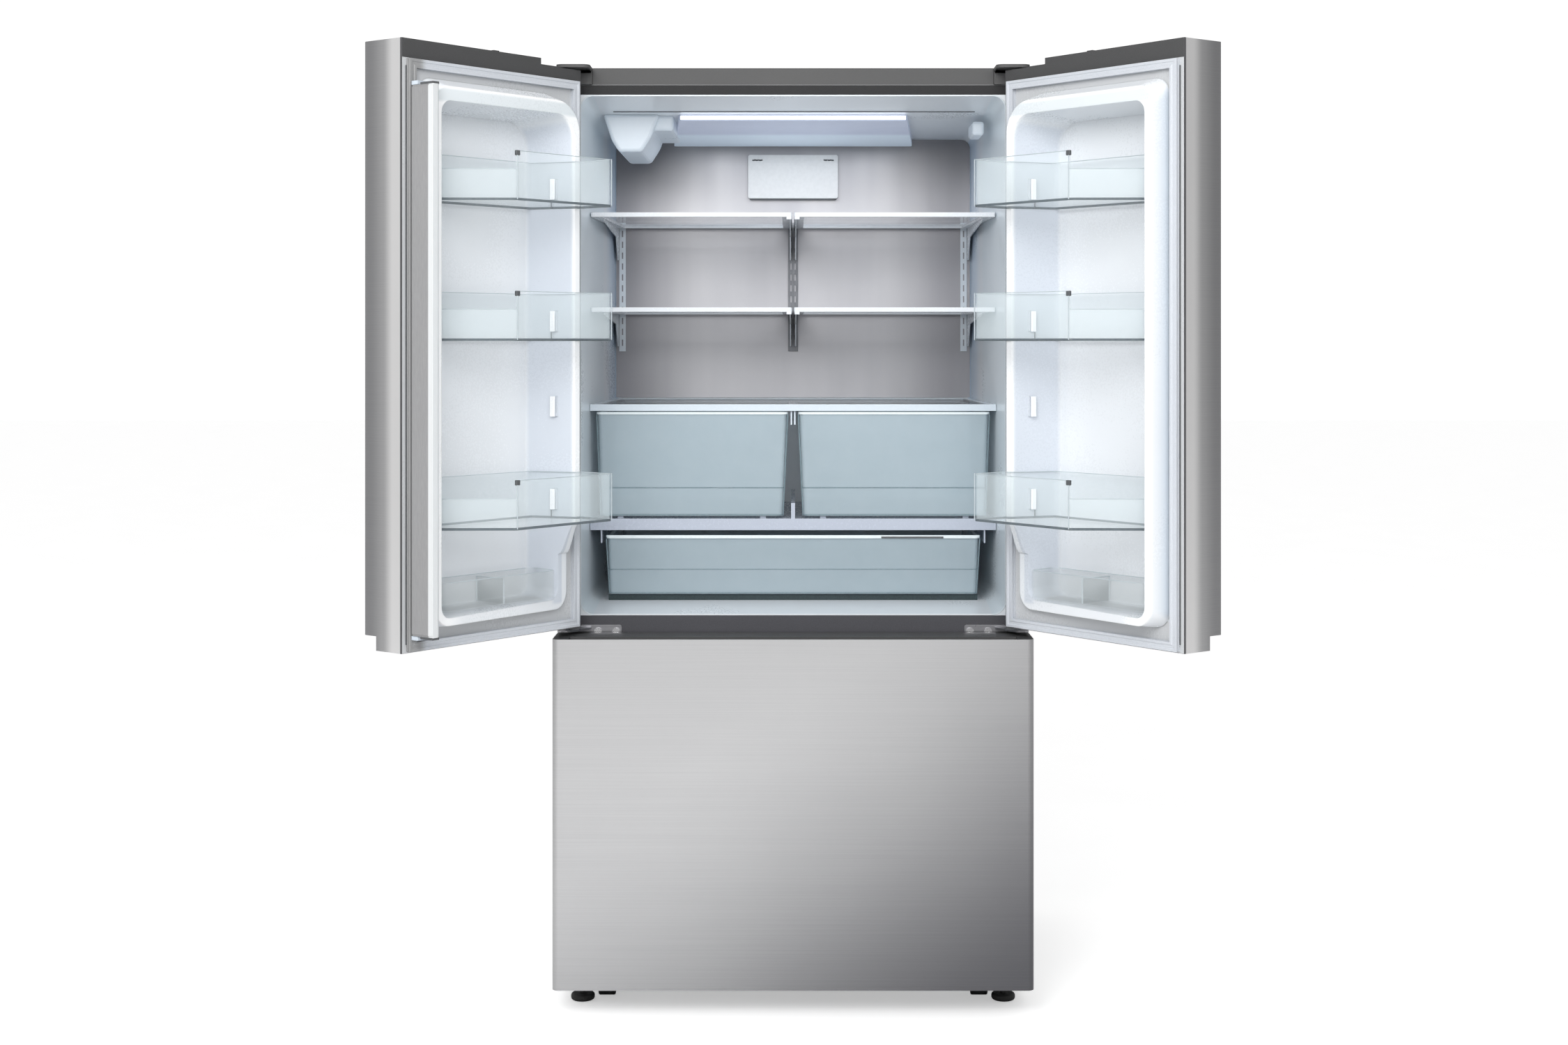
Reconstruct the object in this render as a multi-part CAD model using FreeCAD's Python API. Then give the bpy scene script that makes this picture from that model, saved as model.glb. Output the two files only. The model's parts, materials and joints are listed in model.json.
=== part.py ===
import FreeCAD, Part
import math
import os
from FreeCAD import Vector

# French door refrigerator with a bottom freezer drawer.
# Millimetres, +Z up, +X to the right and +Y to the back as seen from the front.
# The origin is the centre of the case's footprint, on the floor.
# The doors stand open and every drawer is pushed in.

os.makedirs("parts", exist_ok=True)

# ---------------------------------------------------------------- driving dimensions
case_w = 908.0            # case width
case_d = 664.0            # case depth, without doors
case_top = 1774.0         # top of the case above the floor
case_bottom = 42.0        # underside of the case above the floor
side_wall = 44.0          # side of the case to the inside of the liner, at the front
back_wall = 82.0          # back of the case to the inside of the fridge liner
case_sheet = 1.0          # steel sheet of the case
liner_wall = 2.5          # plastic wall of both liners

door_t = 103.0            # thickness of doors and drawer front
gasket_gap = 10.5         # doors' inner face to the front of the case, closed
centre_gap = 4.0          # between the two closed doors
door_bottom = 732.0
door_top = 1808.0
open_angle = 127.65       # how far each door stands open
skin = 1.0                # stainless sheet of doors and drawer
edge_radius = 12.0        # vertical front edges of the skins
pocket_depth = 36.5       # finger pocket under the door fronts, front to back
pocket_height = 25.5      # and how far it cuts up
hinge_inset = 14.0        # hinge axis in from the side of the case
hinge_depth = 70.8        # hinge axis back from the door's front
pin_radius = 5.0
pin_clearance = 0.1
seat = 0.3                # gap left where one piece rests on or runs past another

cap_height = 34.0         # dark cap along the top of each door
cap_step = 13.0           # the cap is this much lower over the hinge
cap_step_length = 107.0

drawer_bottom = 55.0
drawer_top = 716.0
rail_top = 749.6          # top of the rail between the compartments
rail_bottom = 686.5
freezer_floor = 110.0
top_rail_height = 22.0
strip_height = 32.5       # cover strip above the case's front edge

# Fridge interior
floor_rise = 10.0         # floor of the compartment above the rail
ceiling_front_drop = 14.6 # front lip of the ceiling, over lip_depth
lip_depth = 142.0
ceiling_back_drop = 13.5
liner_taper = 18.0        # how much each side closes in towards the back
liner_radius = 24.0
shelf_front = 130.0       # shelves start this far behind the case's front
shelf_back_gap = 12.0
shelf_t = 9.0
glass_t = 4.0
top_shelf_drop = 195.0    # top shelf below the ceiling's back edge
crisper_cover_z = 392.0   # top of the crisper cover above the floor
crisper_t = 9.0
pantry_height = 118.0
pantry_lift = 13.0        # pantry drawer's bottom above the floor
frame_height = 23.0       # band between pantry drawer and crispers
crisper_lift = 5.0
bin_wall = 2.5

# Doors: dike, the raised ring of the inner liner
dike_height = 45.0
dike_hinge_inset = 50.0   # outer wall of the ring, from the hinge edge
dike_free_inset = 30.0    # and from the free edge
dike_crest = 13.0         # crest width at the hinge side
dike_crest_free = 14.0    # at the free side
dike_crest_top = 25.0     # and along the top
dike_top_drop = 48.0      # crest below the cap
dike_bottom_rise = 45.0
recess_depth = 55.0       # recess behind the inner face
recess_draft = 30.0       # how much the hinge side of the recess leans in
gasket_w = 18.0
gasket_inset = 10.0
bin_height = 88.0
bin_reach = 131.0         # door bins past the inner face
bin_end_cut = 85.0        # slanted free end of the bins
bin_low_end = 56.0        # height of that end

# Flap that closes the gap between the doors
flap_w = 53.0
flap_t = 18.0
flap_start = 14.5         # off the inner face when folded
flap_from_edge = 10.0
flap_radius = 7.0

# Freezer
filter_inset = 92.0       # axis of the filter housing, from the liner's side

machine_height = 345.0
cover_sheet = 3.0
machine_depth = 200.0
slide_z = 420.0
slide_h = 36.0
slide_len = 470.0
tray_depth = 230.0
tray_height = 96.0

roller_radius = 18.0
leg_radius = 23.0

# ---------------------------------------------------------------- derived places
half_w = case_w / 2
front = -case_d / 2
back = case_d / 2
door_in = front - gasket_gap
door_out = door_in - door_t
door_w = half_w - centre_gap / 2
hinge_x = -half_w + hinge_inset
hinge_y = door_out + hinge_depth
inner_half = half_w - side_wall
floor_z = rail_top + floor_rise
top_rail_z = case_top - top_rail_height
lip_y = front + lip_depth
lip_z = top_rail_z - ceiling_front_drop
liner_back = back - back_wall
ceiling_back = lip_z - ceiling_back_drop
shelf_y0 = front + shelf_front
shelf_y1 = liner_back - shelf_back_gap
machine_y = back - machine_depth


# ---------------------------------------------------------------- making shapes
def block(x0, x1, y0, y1, z0, z1):
    return Part.makeBox(x1 - x0, y1 - y0, z1 - z0, Vector(x0, y0, z0))


def rod(x, y, z, radius, length, axis):
    return Part.makeCylinder(radius, length, Vector(x, y, z), axis)


UP = Vector(0, 0, 1)
DOWN = Vector(0, 0, -1)
ALONG_X = Vector(1, 0, 0)
ALONG_Y = Vector(0, 1, 0)


def round_outline(points, radii):
    """Closed outline through 2-D points, with each corner an arc of its own radius."""
    count = len(points)
    if not isinstance(radii, (list, tuple)):
        radii = [radii] * count
    starts, ends, mids = [], [], []
    for i, (x, y) in enumerate(points):
        ax, ay = points[i - 1]
        bx, by = points[(i + 1) % count]
        la, lb = math.hypot(ax - x, ay - y), math.hypot(bx - x, by - y)
        ux, uy, vx, vy = (ax - x) / la, (ay - y) / la, (bx - x) / lb, (by - y) / lb
        half = math.acos(max(-1, min(1, ux * vx + uy * vy))) / 2
        cut = min(radii[i] / math.tan(half), 0.49 * la, 0.49 * lb)
        radius = cut * math.tan(half)
        mx, my = ux + vx, uy + vy
        ml = math.hypot(mx, my) or 1.0
        reach = radius / math.sin(half) - radius
        starts.append((x + ux * cut, y + uy * cut))
        ends.append((x + vx * cut, y + vy * cut))
        mids.append((x + mx / ml * reach, y + my / ml * reach))
    return starts, mids, ends, radii


def outline_wire(points, radii, place):
    """The same outline as a wire; place turns a 2-D point into a 3-D one."""
    starts, mids, ends, radii = round_outline(points, radii)
    edges = []
    for i in range(len(points)):
        if radii[i] > 0:
            edges.append(Part.Arc(place(*starts[i]), place(*mids[i]), place(*ends[i])).toShape())
        follow = starts[(i + 1) % len(points)]
        edges.append(Part.makeLine(place(*ends[i]), place(*follow)))
    return Part.Wire(edges)


def plan_prism(points, radii, z0, z1):
    wire = outline_wire(points, radii, lambda x, y: Vector(x, y, z0))
    return Part.Face(wire).extrude(Vector(0, 0, z1 - z0))


def side_prism(points, radii, x0, x1):
    """Outline in Y and Z, extruded along X."""
    wire = outline_wire(points, radii, lambda y, z: Vector(x0, y, z))
    return Part.Face(wire).extrude(Vector(x1 - x0, 0, 0))


def front_prism(points, radii, y0, y1):
    """Outline in X and Z, extruded along Y."""
    wire = outline_wire(points, radii, lambda x, z: Vector(x, y0, z))
    return Part.Face(wire).extrude(Vector(0, y1 - y0, 0))


def rectangle(a0, a1, b0, b1):
    return [(a0, b0), (a1, b0), (a1, b1), (a0, b1)]


def front_loft(sections):
    """Solid through upright rounded rectangles; a section is (y, x0, x1, z0, z1, radii)."""
    wires = []
    for y, x0, x1, z0, z1, radii in sections:
        wires.append(outline_wire(rectangle(x0, x1, z0, z1), radii, lambda x, z, y=y: Vector(x, y, z)))
    return Part.makeLoft(wires, True, True)


def ring(x0, x1, z0, z1, width, radius, y0, y1):
    outer = front_prism(rectangle(x0, x1, z0, z1), radius, y0, y1)
    inner = front_prism(rectangle(x0 + width, x1 - width, z0 + width, z1 - width),
                        max(radius - width, 2.0), y0 - 1, y1 + 1)
    return outer.cut(inner)


def mirrored(shape):
    return shape.mirror(Vector(0, 0, 0), Vector(1, 0, 0))


def both_sides(shape):
    return [shape, mirrored(shape)]


def joined(shapes):
    result = shapes[0].multiFuse(shapes[1:]) if len(shapes) > 1 else shapes[0]
    return result.removeSplitter()


def save(name, shapes):
    if not isinstance(shapes, (list, tuple)):
        shapes = [shapes]
    solids = [solid for shape in shapes for solid in shape.Solids]
    shape = solids[0] if len(solids) == 1 else Part.makeCompound(solids)
    shape.exportStep(f"parts/{name}.step")
    print(f"{name:20s} {len(solids):3d} solids  {shape.Volume / 1000:10.1f} cm3  valid {shape.isValid()}")


def swing(shape):
    """Turn a left door piece from closed to where the open door holds it."""
    turned = shape.copy()
    turned.rotate(Vector(hinge_x, hinge_y, 0), UP, -open_angle)
    return turned


def save_doors(name, shape, extra_left=None):
    """Save a door piece for both doors; extra_left is only on the left one."""
    left = shape if extra_left is None else joined([shape] + extra_left)
    save(f"left_{name}", swing(left))
    save(f"right_{name}", mirrored(swing(shape)))


# ---------------------------------------------------------------- case
def fridge_room(grow):
    """Space inside the fridge liner, or its outside when grown by the liner's wall."""
    half0, half1 = inner_half + grow, inner_half - liner_taper + grow
    share = lip_depth / (liner_back - front)
    half_lip = half0 + (half1 - half0) * share
    radius = liner_radius + grow
    return front_loft([
        (front, -half0, half0, rail_top - grow, top_rail_z + grow, radius),
        (lip_y, -half_lip, half_lip, floor_z - grow, lip_z + grow, radius),
        (liner_back + grow, -half1, half1, floor_z - grow, ceiling_back + grow, radius)])


def fridge_half(y):
    """Half width inside the fridge liner at depth y."""
    return inner_half - liner_taper * (y - front) / (liner_back - front)


freezer_top = rail_bottom - liner_wall
freezer_back = back - 70.0
step_foam = 35.0


def freezer_room(grow):
    room = block(-inner_half - grow, inner_half + grow, front, freezer_back + grow,
                 freezer_floor - grow, freezer_top + grow)
    step = block(-half_w, half_w, machine_y - step_foam + grow, back,
                 0, machine_height + step_foam - grow)
    return room.cut(step)


def outer_case():
    wrap = block(-half_w, half_w, front, back, case_bottom, case_top)
    wrap = wrap.cut(block(-half_w + case_sheet, half_w - case_sheet, front - 1, back + 1,
                          case_bottom - 1, case_top - case_sheet))
    flange = block(-half_w + case_sheet, -inner_half - liner_wall, front, front + case_sheet,
                   case_bottom, case_top - case_sheet)
    return joined([wrap, flange, mirrored(flange)])


def machine_space():
    return block(-half_w + case_sheet, half_w - case_sheet, machine_y, back, case_bottom, machine_height)


def base_frame():
    """Pressed steel floor with its front rail, the step over the machine space and the wheel forks."""
    x1 = half_w - case_sheet
    y1 = back - cover_sheet
    plate = block(-x1, x1, front + case_sheet, y1, case_bottom, case_bottom + 2)
    rail_x = inner_half + liner_wall
    rail = block(-rail_x, rail_x, front, front + 2, case_bottom, freezer_floor - liner_wall)
    wall = block(-x1, x1, machine_y, machine_y + 1.5, case_bottom, machine_height)
    shelf = block(-x1, x1, machine_y, y1, machine_height - 1.5, machine_height)
    parts = [plate, rail, wall, shelf]
    for x, y in wheel_places():
        for edge in (-roller_w / 2 - seat - 2, roller_w / 2 + seat):
            parts.append(block(x + edge, x + edge + 2, y - 12, y + 12, roller_radius - 7, case_bottom))
        parts.append(rod(x - roller_w / 2 - 3, y, roller_radius, 4.0, roller_w + 6, ALONG_X))
    holes = [rod(side * leg_x, leg_y, case_bottom - 1, 6.0 + pin_clearance, 30, UP) for side in (-1, 1)]
    sleeves = [rod(side * leg_x, leg_y, case_bottom, 12.0, 22, UP) for side in (-1, 1)]
    return joined(parts + sleeves).cut(Part.makeCompound(holes))


roller_w = 33.0
leg_x = half_w - 46.0
leg_y = front + 16.0
roller_x = leg_x - 45.0


def wheel_places():
    front_y, rear_y = front + 45.0, back - 60.0
    return [(side * roller_x, y) for y in (front_y, rear_y) for side in (-1, 1)]


def roller(x, y):
    wheel = rod(x - roller_w / 2, y, roller_radius, roller_radius, roller_w, ALONG_X)
    rims = [e for e in wheel.Edges if abs(e.Length - 2 * math.pi * roller_radius) < 0.01]
    wheel = wheel.makeFillet(3.0, rims)
    return wheel.cut(rod(x - roller_w, y, roller_radius, 4.0 + pin_clearance, 2 * roller_w, ALONG_X))


def levelling_leg():
    foot = rod(-leg_x, leg_y, 0, leg_radius, 13, UP)
    foot = foot.makeFillet(5.0, [foot.Edges[0], foot.Edges[2]])
    stem = rod(-leg_x, leg_y, 12, 6.0, case_bottom + 6, UP)
    return joined([foot, stem])


def cabinet_foam():
    """Insulation between the case and both liners."""
    x1 = half_w - case_sheet
    foam = block(-x1, x1, front + case_sheet, back - case_sheet, case_bottom + 2, case_top - case_sheet)
    foam = foam.cut(fridge_room(liner_wall)).cut(freezer_room(liner_wall))
    foam = foam.cut(block(-x1, x1, machine_y, back, case_bottom, machine_height))
    mid_and_top = [rail_solid(rail_bottom, rail_top - liner_wall),
                   rail_solid(top_rail_z + liner_wall, case_top - case_sheet)]
    sleeves = [rod(side * leg_x, leg_y, case_bottom, 12.0, 22, UP) for side in (-1, 1)]
    front_rail = block(-inner_half - liner_wall, inner_half + liner_wall, front, front + 2,
                       case_bottom, freezer_floor - liner_wall)
    return foam.cut(Part.makeCompound(mid_and_top + sleeves + [front_rail]))


def rail_solid(z0, z1):
    """Channel across the front of the case: a face with a return along its top and bottom."""
    x1 = inner_half + liner_wall
    depth, sheet = 14.0, 1.5
    face = block(-x1, x1, front, front + sheet, z0, z1)
    low = block(-x1, x1, front, front + depth, z0, z0 + sheet)
    high = block(-x1, x1, front, front + depth, z1 - sheet, z1)
    return joined([face, low, high])


save("outer_case", outer_case())
x_in = half_w - case_sheet
save("rear_panel", block(-x_in, x_in, back - case_sheet, back, machine_height, case_top - case_sheet))
save("base_frame", base_frame())
save("cabinet_foam", cabinet_foam())
save("mid_rail", rail_solid(rail_bottom, rail_top - liner_wall))
save("top_rail", rail_solid(top_rail_z + liner_wall, case_top - case_sheet))


def fridge_liner():
    shell = fridge_room(liner_wall).cut(fridge_room(0))
    runners = []
    for side in (-1, 1):
        x0, x1 = sorted((side * 330.0, side * 345.0))
        runners.append(block(x0, x1, shelf_y0 + 20, liner_back - 60, floor_z - 0.5,
                             floor_z + pantry_lift - seat))
    return joined([shell.cut(block(-half_w, half_w, front - 10, front, 0, case_top))] + runners)


def freezer_liner():
    """Thermoformed tub, and the air cover that hides the evaporator as a second solid."""
    tub = freezer_room(liner_wall).cut(freezer_room(0))
    y0 = cover_y
    cover = block(-inner_half + seat, inner_half - seat, y0, y0 + 3,
                  machine_height + step_foam + seat, freezer_top - seat)
    slots = [block(-120, 120, y0 - 1, y0 + 4, evap_fan_z + dz, evap_fan_z + dz + 6)
             for dz in (-54, -42, -30, 30, 42, 54)]
    boss = rod(0, y0 + 3, evap_fan_z, 16.0, 12.0, ALONG_Y)
    bore = rod(0, y0 + 5, evap_fan_z, 3.0 + pin_clearance, 20.0, ALONG_Y)
    cover = joined([cover.cut(Part.makeCompound(slots)), boss]).cut(bore)
    return [tub, cover]


cover_y = freezer_back - 78.0
evap_fan_z = freezer_top - 75.0
save("fridge_liner", fridge_liner())
save("freezer_liner", freezer_liner())


# ---------------------------------------------------------------- hinges and top trim
arm_z = door_top - cap_step + 1.0
arm_t = 3.0
cover_left, cover_right = -half_w + 2.0, -half_w + 66.0
strip_top = case_top + strip_height


def top_cover_strip():
    """Hollow cover over the wiring, between the hinge covers."""
    x1 = -cover_right
    outer = side_prism(rectangle(front, front + 92, case_top, strip_top), [0, 0, 4, 4], -x1, x1)
    return outer.cut(block(-x1 + 2.5, x1 - 2.5, front + 2.5, front + 89.5, case_top - 1, strip_top - 2.5))


def hinge_cover():
    top = strip_top - 1.0
    nose = plan_prism(rectangle(cover_left, cover_right, hinge_y - 24, front + 20), [14, 14, 0, 0],
                      arm_z + arm_t + seat, top)
    body = block(cover_left, cover_right - seat, front - gasket_gap + 4.4, front + 92, case_top, top)
    room = block(cover_left + 2.5, cover_right - 2.8, front - gasket_gap + 6.9, front + 89.5,
                 case_top - 1, top - 2.5)
    slot = block(hinge_x - 20, hinge_x + 20, front - 40, front + 20, arm_z - 2, arm_z + arm_t + seat)
    room_nose = plan_prism(rectangle(cover_left + 2.5, cover_right - 2.5, hinge_y - 21.5, front + 20),
                           [12, 12, 0, 0], arm_z, top - 2.5)
    return joined([nose, body]).cut(Part.makeCompound([room, slot])).cut(room_nose)


def top_hinge():
    base = block(hinge_x - 8, hinge_x + 44, front + 8, front + 80, case_top, case_top + 3)
    riser = block(hinge_x - 8, hinge_x + 10, front + 8, front + 12, case_top, arm_z + arm_t)
    arm = plan_prism(rectangle(hinge_x - 8, hinge_x + 10, hinge_y - 9, front + 12), [8, 8, 0, 0],
                     arm_z, arm_z + arm_t)
    pin = rod(hinge_x, hinge_y, arm_z + 1, pin_radius, 18.0, DOWN)
    return joined([base, riser, arm, pin])


mid_arm_z = door_bottom - 11.0
plate_x0, plate_x1 = hinge_x + 28.0, hinge_x + 109.0


def mid_hinge():
    """Bracket screwed to the rail: a face plate and an arm that carries the door on its pin."""
    plate = front_prism(rectangle(plate_x0, plate_x1, mid_arm_z - 13, door_bottom - 3), 5.0,
                        front - 3, front)
    arm = plan_prism([(hinge_x - 11, hinge_y - 11), (hinge_x + 11, hinge_y - 11), (plate_x0 + 20, front - 14),
                      (plate_x0 + 22, front - 2), (plate_x0 - 14, front - 2), (hinge_x - 11, hinge_y + 9)],
                     [9, 9, 6, 0, 6, 9], mid_arm_z, mid_arm_z + 4)
    collar = rod(hinge_x, hinge_y, mid_arm_z + 3, 9.0, door_bottom - seat - mid_arm_z - 3, UP)
    pin = rod(hinge_x, hinge_y, mid_arm_z + 3, pin_radius, door_bottom + 16 - mid_arm_z - 3, UP)
    return joined([plate, arm, collar, pin])


def screw_head(x, y, z, axis, radius, height):
    """Cheese head with a slot across it."""
    head = Part.makeCylinder(radius, height, Vector(x, y, z), axis)
    if axis.z:
        return head.cut(block(x - radius * 0.7, x + radius * 0.7, y - 0.8, y + 0.8,
                              z + height - 0.8, z + height + 1))
    return head.cut(block(x - radius * 0.7, x + radius * 0.7, y - height - 1, y - height + 0.8,
                          z - 0.8, z + 0.8))


def hinge_screws():
    screws = []
    for x in (plate_x0 + 35, plate_x1 - 11):
        screws += both_sides(screw_head(x, front - 3, mid_arm_z - 4.5, Vector(0, -1, 0), 7.5, 4.0))
    for y in (front + 30, front + 62):
        screws += both_sides(screw_head(hinge_x + 28, y, case_top + 3, UP, 6.0, 4.0))
    return screws


save("top_cover_strip", top_cover_strip())
save("hinge_covers", both_sides(hinge_cover()))
save("top_hinges", both_sides(top_hinge()))
save("mid_hinges", both_sides(mid_hinge()))
save("hinge_screws", hinge_screws())

# ---------------------------------------------------------------- inside the fridge
wall_t = 2.0
panel_y = liner_back - seat - wall_t
panel_z0 = floor_z + crisper_cover_z + 2


def tapered_slab(y0, y1, z0, z1, inset):
    """Slab that follows both side walls of the liner at a steady distance."""
    w0, w1 = fridge_half(y0) - inset, fridge_half(y1) - inset
    return plan_prism([(-w0, y0), (w0, y0), (w1, y1), (-w1, y1)], 0, z0, z1)


def back_wall_panel():
    """Brushed metal sheet across the back of the compartment."""
    half = fridge_half(liner_back) - 2.0
    return front_prism(rectangle(-half, half, panel_z0, ceiling_back - 2), [0, 0, 20, 20],
                       panel_y, panel_y + wall_t)


top_shelf_z = ceiling_back - top_shelf_drop + 6
cover_top_z = floor_z + crisper_cover_z
low_shelf_z = (top_shelf_z + cover_top_z) / 2 + 2
track_t = 3.0
track_half = 11.0
arm_back_h = 70.0


def shelf_tracks():
    """Slotted steel uprights: one in the centre and one at each side."""
    tracks = []
    z1 = top_shelf_z + 4
    z0 = low_shelf_z - 90
    side_x = fridge_half(panel_y) - 16.0
    for x, half in ((0, track_half), (-side_x, 7.0), (side_x, 7.0)):
        track = block(x - half, x + half, panel_y - seat - track_t, panel_y - seat, z0, z1)
        slots = []
        z = z0 + 12
        while z < z1 - 20:
            for offset in ((-6, 3) if half > 8 else (-1.5,)):
                slots.append(block(x + offset, x + offset + 3, panel_y - 9, panel_y, z, z + 14))
            z += 24
        tracks.append(track.cut(Part.makeCompound(slots)))
    return tracks


def shelf(x0_front, x1, top):
    """Left half shelf: moulded frame and two steel arms; returns frame and glass."""
    y0, y1 = shelf_y0, panel_y - seat - track_t - seat
    trim = 14.0
    outer = plan_prism([(x0_front(y0), y0), (x1, y0), (x1, y1), (x0_front(y1), y1)], [4, 4, 0, 0],
                       top - shelf_t, top)
    pane = plan_prism([(x0_front(y0) + trim, y0 + trim), (x1 - trim, y0 + trim), (x1 - trim, y1 - trim),
                       (x0_front(y1) + trim, y1 - trim)], 0, top - 1 - glass_t, top - 1)
    hole = plan_prism([(x0_front(y0) + trim + 6, y0 + trim + 6), (x1 - trim - 6, y0 + trim + 6),
                       (x1 - trim - 6, y1 - trim - 6), (x0_front(y1) + trim + 6, y1 - trim - 6)],
                      0, top - shelf_t - 1, top + 1)
    lid = plan_prism([(x0_front(y0) + trim, y0 + trim), (x1 - trim, y0 + trim), (x1 - trim, y1 - trim),
                      (x0_front(y1) + trim, y1 - trim)], 0, top - 1 - glass_t, top + 1)
    frame = outer.cut(hole).cut(lid)
    drop = arm_back_h
    arms = []
    for x in (x1 - 5.0, x0_front(y1) + 4.0):
        under = top - 1 - glass_t
        arms.append(side_prism([(y1, under), (y1, top - shelf_t - drop), (y1 - 12, top - shelf_t - drop),
                                (y1 - 60, top - shelf_t - 22), (y0 + 90, top - shelf_t - 4),
                                (y0 + 90, under)], 0, x, x + 2.5))
    hook = block(x1 - 11, x1 - 1, y0 - 1, y0 + 9, top - shelf_t - 5, top - shelf_t + 1)
    return joined([frame] + arms + [hook]), pane


def shelves():
    frames, panes = [], []
    for top in (top_shelf_z, low_shelf_z):
        frame, pane = shelf(lambda y: -fridge_half(y) + 2.0, -2.0, top)
        frames += both_sides(frame)
        panes += both_sides(pane)
    return frames, panes


def crisper_cover():
    """Lid over the crispers: frame with a glass pane, resting on the liner's sides."""
    y0, y1, top = shelf_y0 - 4, panel_y - 2, cover_top_z
    slab = tapered_slab(y0, y1, top - crisper_t, top, 1.0)
    lip = tapered_slab(y0, y0 + 6, top - crisper_t - 4, top, 1.0)
    hole = tapered_slab(y0 + 24, y1 - 20, top - crisper_t - 1, top + 1, 26.0)
    seat_cut = tapered_slab(y0 + 16, y1 - 12, top - 1 - glass_t, top + 1, 18.0)
    rails = [block(x - 1.5, x + 1.5, y0 + 8, y1 - 10, crisper_z1 - 26, top - crisper_t)
             for x in (-3.5, 3.5)]
    frame = joined([slab, lip]).cut(hole).cut(seat_cut)
    beam = block(-8, 8, y0 + 6, y1 - 6, top - crisper_t - 3, top - 1 - glass_t)
    frame = joined([frame, beam] + rails)
    pane = tapered_slab(y0 + 16, y1 - 12, top - 1 - glass_t, top - 1, 18.0)
    return frame, pane


pantry_z0 = floor_z + pantry_lift
pantry_z1 = pantry_z0 + pantry_height
frame_z0 = pantry_z1 + 10.0
frame_z1 = frame_z0 + frame_height
crisper_z0 = frame_z1 + crisper_lift
crisper_z1 = cover_top_z - crisper_t - 6.0
crisper_depth = 395.0


def tub(points_low, points_high, z0, z1, wall, radius):
    """Open drawer with leaning sides: lofted outside, less a smaller loft for the room inside."""
    def body(inset, low, high):
        wires = []
        for points, z in ((points_low, low), (points_high, high)):
            (x0, y0), (x1, y1) = points
            shape = rectangle(x0 + inset, x1 - inset, y0 + inset, y1 - inset)
            wires.append(outline_wire(shape, max(radius - inset, 1.5), lambda x, y, z=z: Vector(x, y, z)))
        return Part.makeLoft(wires, True, True)
    return body(0, z0, z1).cut(body(wall, z0 + wall, z1 + 0.01))


def crisper():
    """Left crisper: clear tub with a rim round its mouth and a step line in its front."""
    x0, x1 = -fridge_half(shelf_y0 + crisper_depth) + 3.0, -12.0
    y0, y1 = shelf_y0, shelf_y0 + crisper_depth
    body = tub(((x0 + 6, y0 + 3), (x1 - 8, y1 - 6)), ((x0, y0), (x1, y1)), crisper_z0, crisper_z1,
               bin_wall, 10.0)
    rim = plan_prism(rectangle(x0 - 1.5, x1 + 1.5, y0 - 1.5, y1), 8.0, crisper_z1 - 5, crisper_z1)
    rim = rim.cut(plan_prism(rectangle(x0 + bin_wall, x1 - bin_wall, y0 + bin_wall, y1 - bin_wall), 7.0,
                             crisper_z1 - 6, crisper_z1 + 1))
    return joined([body, rim])


def pantry_frame():
    """Shelf between pantry drawer and crispers, with low runners that carry the crispers."""
    y0, y1 = shelf_y0 - 2, panel_y - 6
    slab = tapered_slab(y0, y1, frame_z1 - 8, frame_z1, 1.0)
    apron = tapered_slab(y0, y0 + 5, frame_z0, frame_z1, 1.0)
    runners = [block(x - 6, x + 6, y0 + 12, y0 + crisper_depth - 10, frame_z1, crisper_z0 - seat)
               for x in (-345, -60, 60, 345)]
    ridge = block(-4, 4, y0, y0 + crisper_depth, frame_z1, crisper_z0 + 26)
    cheeks = []
    for side in (-1, 1):
        w = fridge_half(y0) - 22
        x0, x1 = sorted((side * (w - 3), side * w))
        cheeks.append(block(x0, x1, y0 + 5, y0 + 380, frame_z0 - 26, frame_z1 - 8))
    return joined([slab, apron, ridge] + runners + cheeks)


def pantry_drawer():
    """Full width drawer for cold cuts: clear tub, rim, front lip and divider ribs."""
    half = 371.0 / 410.0 * inner_half
    y0, y1 = shelf_y0 + 1, shelf_y0 + 388
    body = tub(((-half + 4, y0 + 3), (half - 4, y1 - 5)), ((-half, y0), (half, y1)),
               pantry_z0, pantry_z1, bin_wall, 9.0)
    rim = plan_prism(rectangle(-half - 2, half + 2, y0 - 2, y1), 7.0, pantry_z1 - 7, pantry_z1)
    rim = rim.cut(plan_prism(rectangle(-half + bin_wall, half - bin_wall, y0 + bin_wall, y1 - bin_wall),
                             6.0, pantry_z1 - 8, pantry_z1 + 1))
    return joined([body, rim])


shelf_frames, shelf_panes = shelves()
lid_frame, lid_pane = crisper_cover()
left_crisper = crisper()
save("back_wall_panel", back_wall_panel())
save("shelf_tracks", shelf_tracks())
save("shelf_frames", shelf_frames)
save("crisper_cover", lid_frame)
save("shelf_glass", shelf_panes + [lid_pane])
save("left_crisper", left_crisper)
save("right_crisper", mirrored(left_crisper))
save("pantry_frame", pantry_frame())
save("pantry_drawer", pantry_drawer())

# Lamp, water filter and air filter under the ceiling and on the back wall
lamp_y0 = front + 181.0
lamp_y1 = panel_y - 4


def ceiling_z(y):
    """Height of the ceiling behind its front lip."""
    return lip_z - ceiling_back_drop * (y - lip_y) / (liner_back - lip_y)


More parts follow.
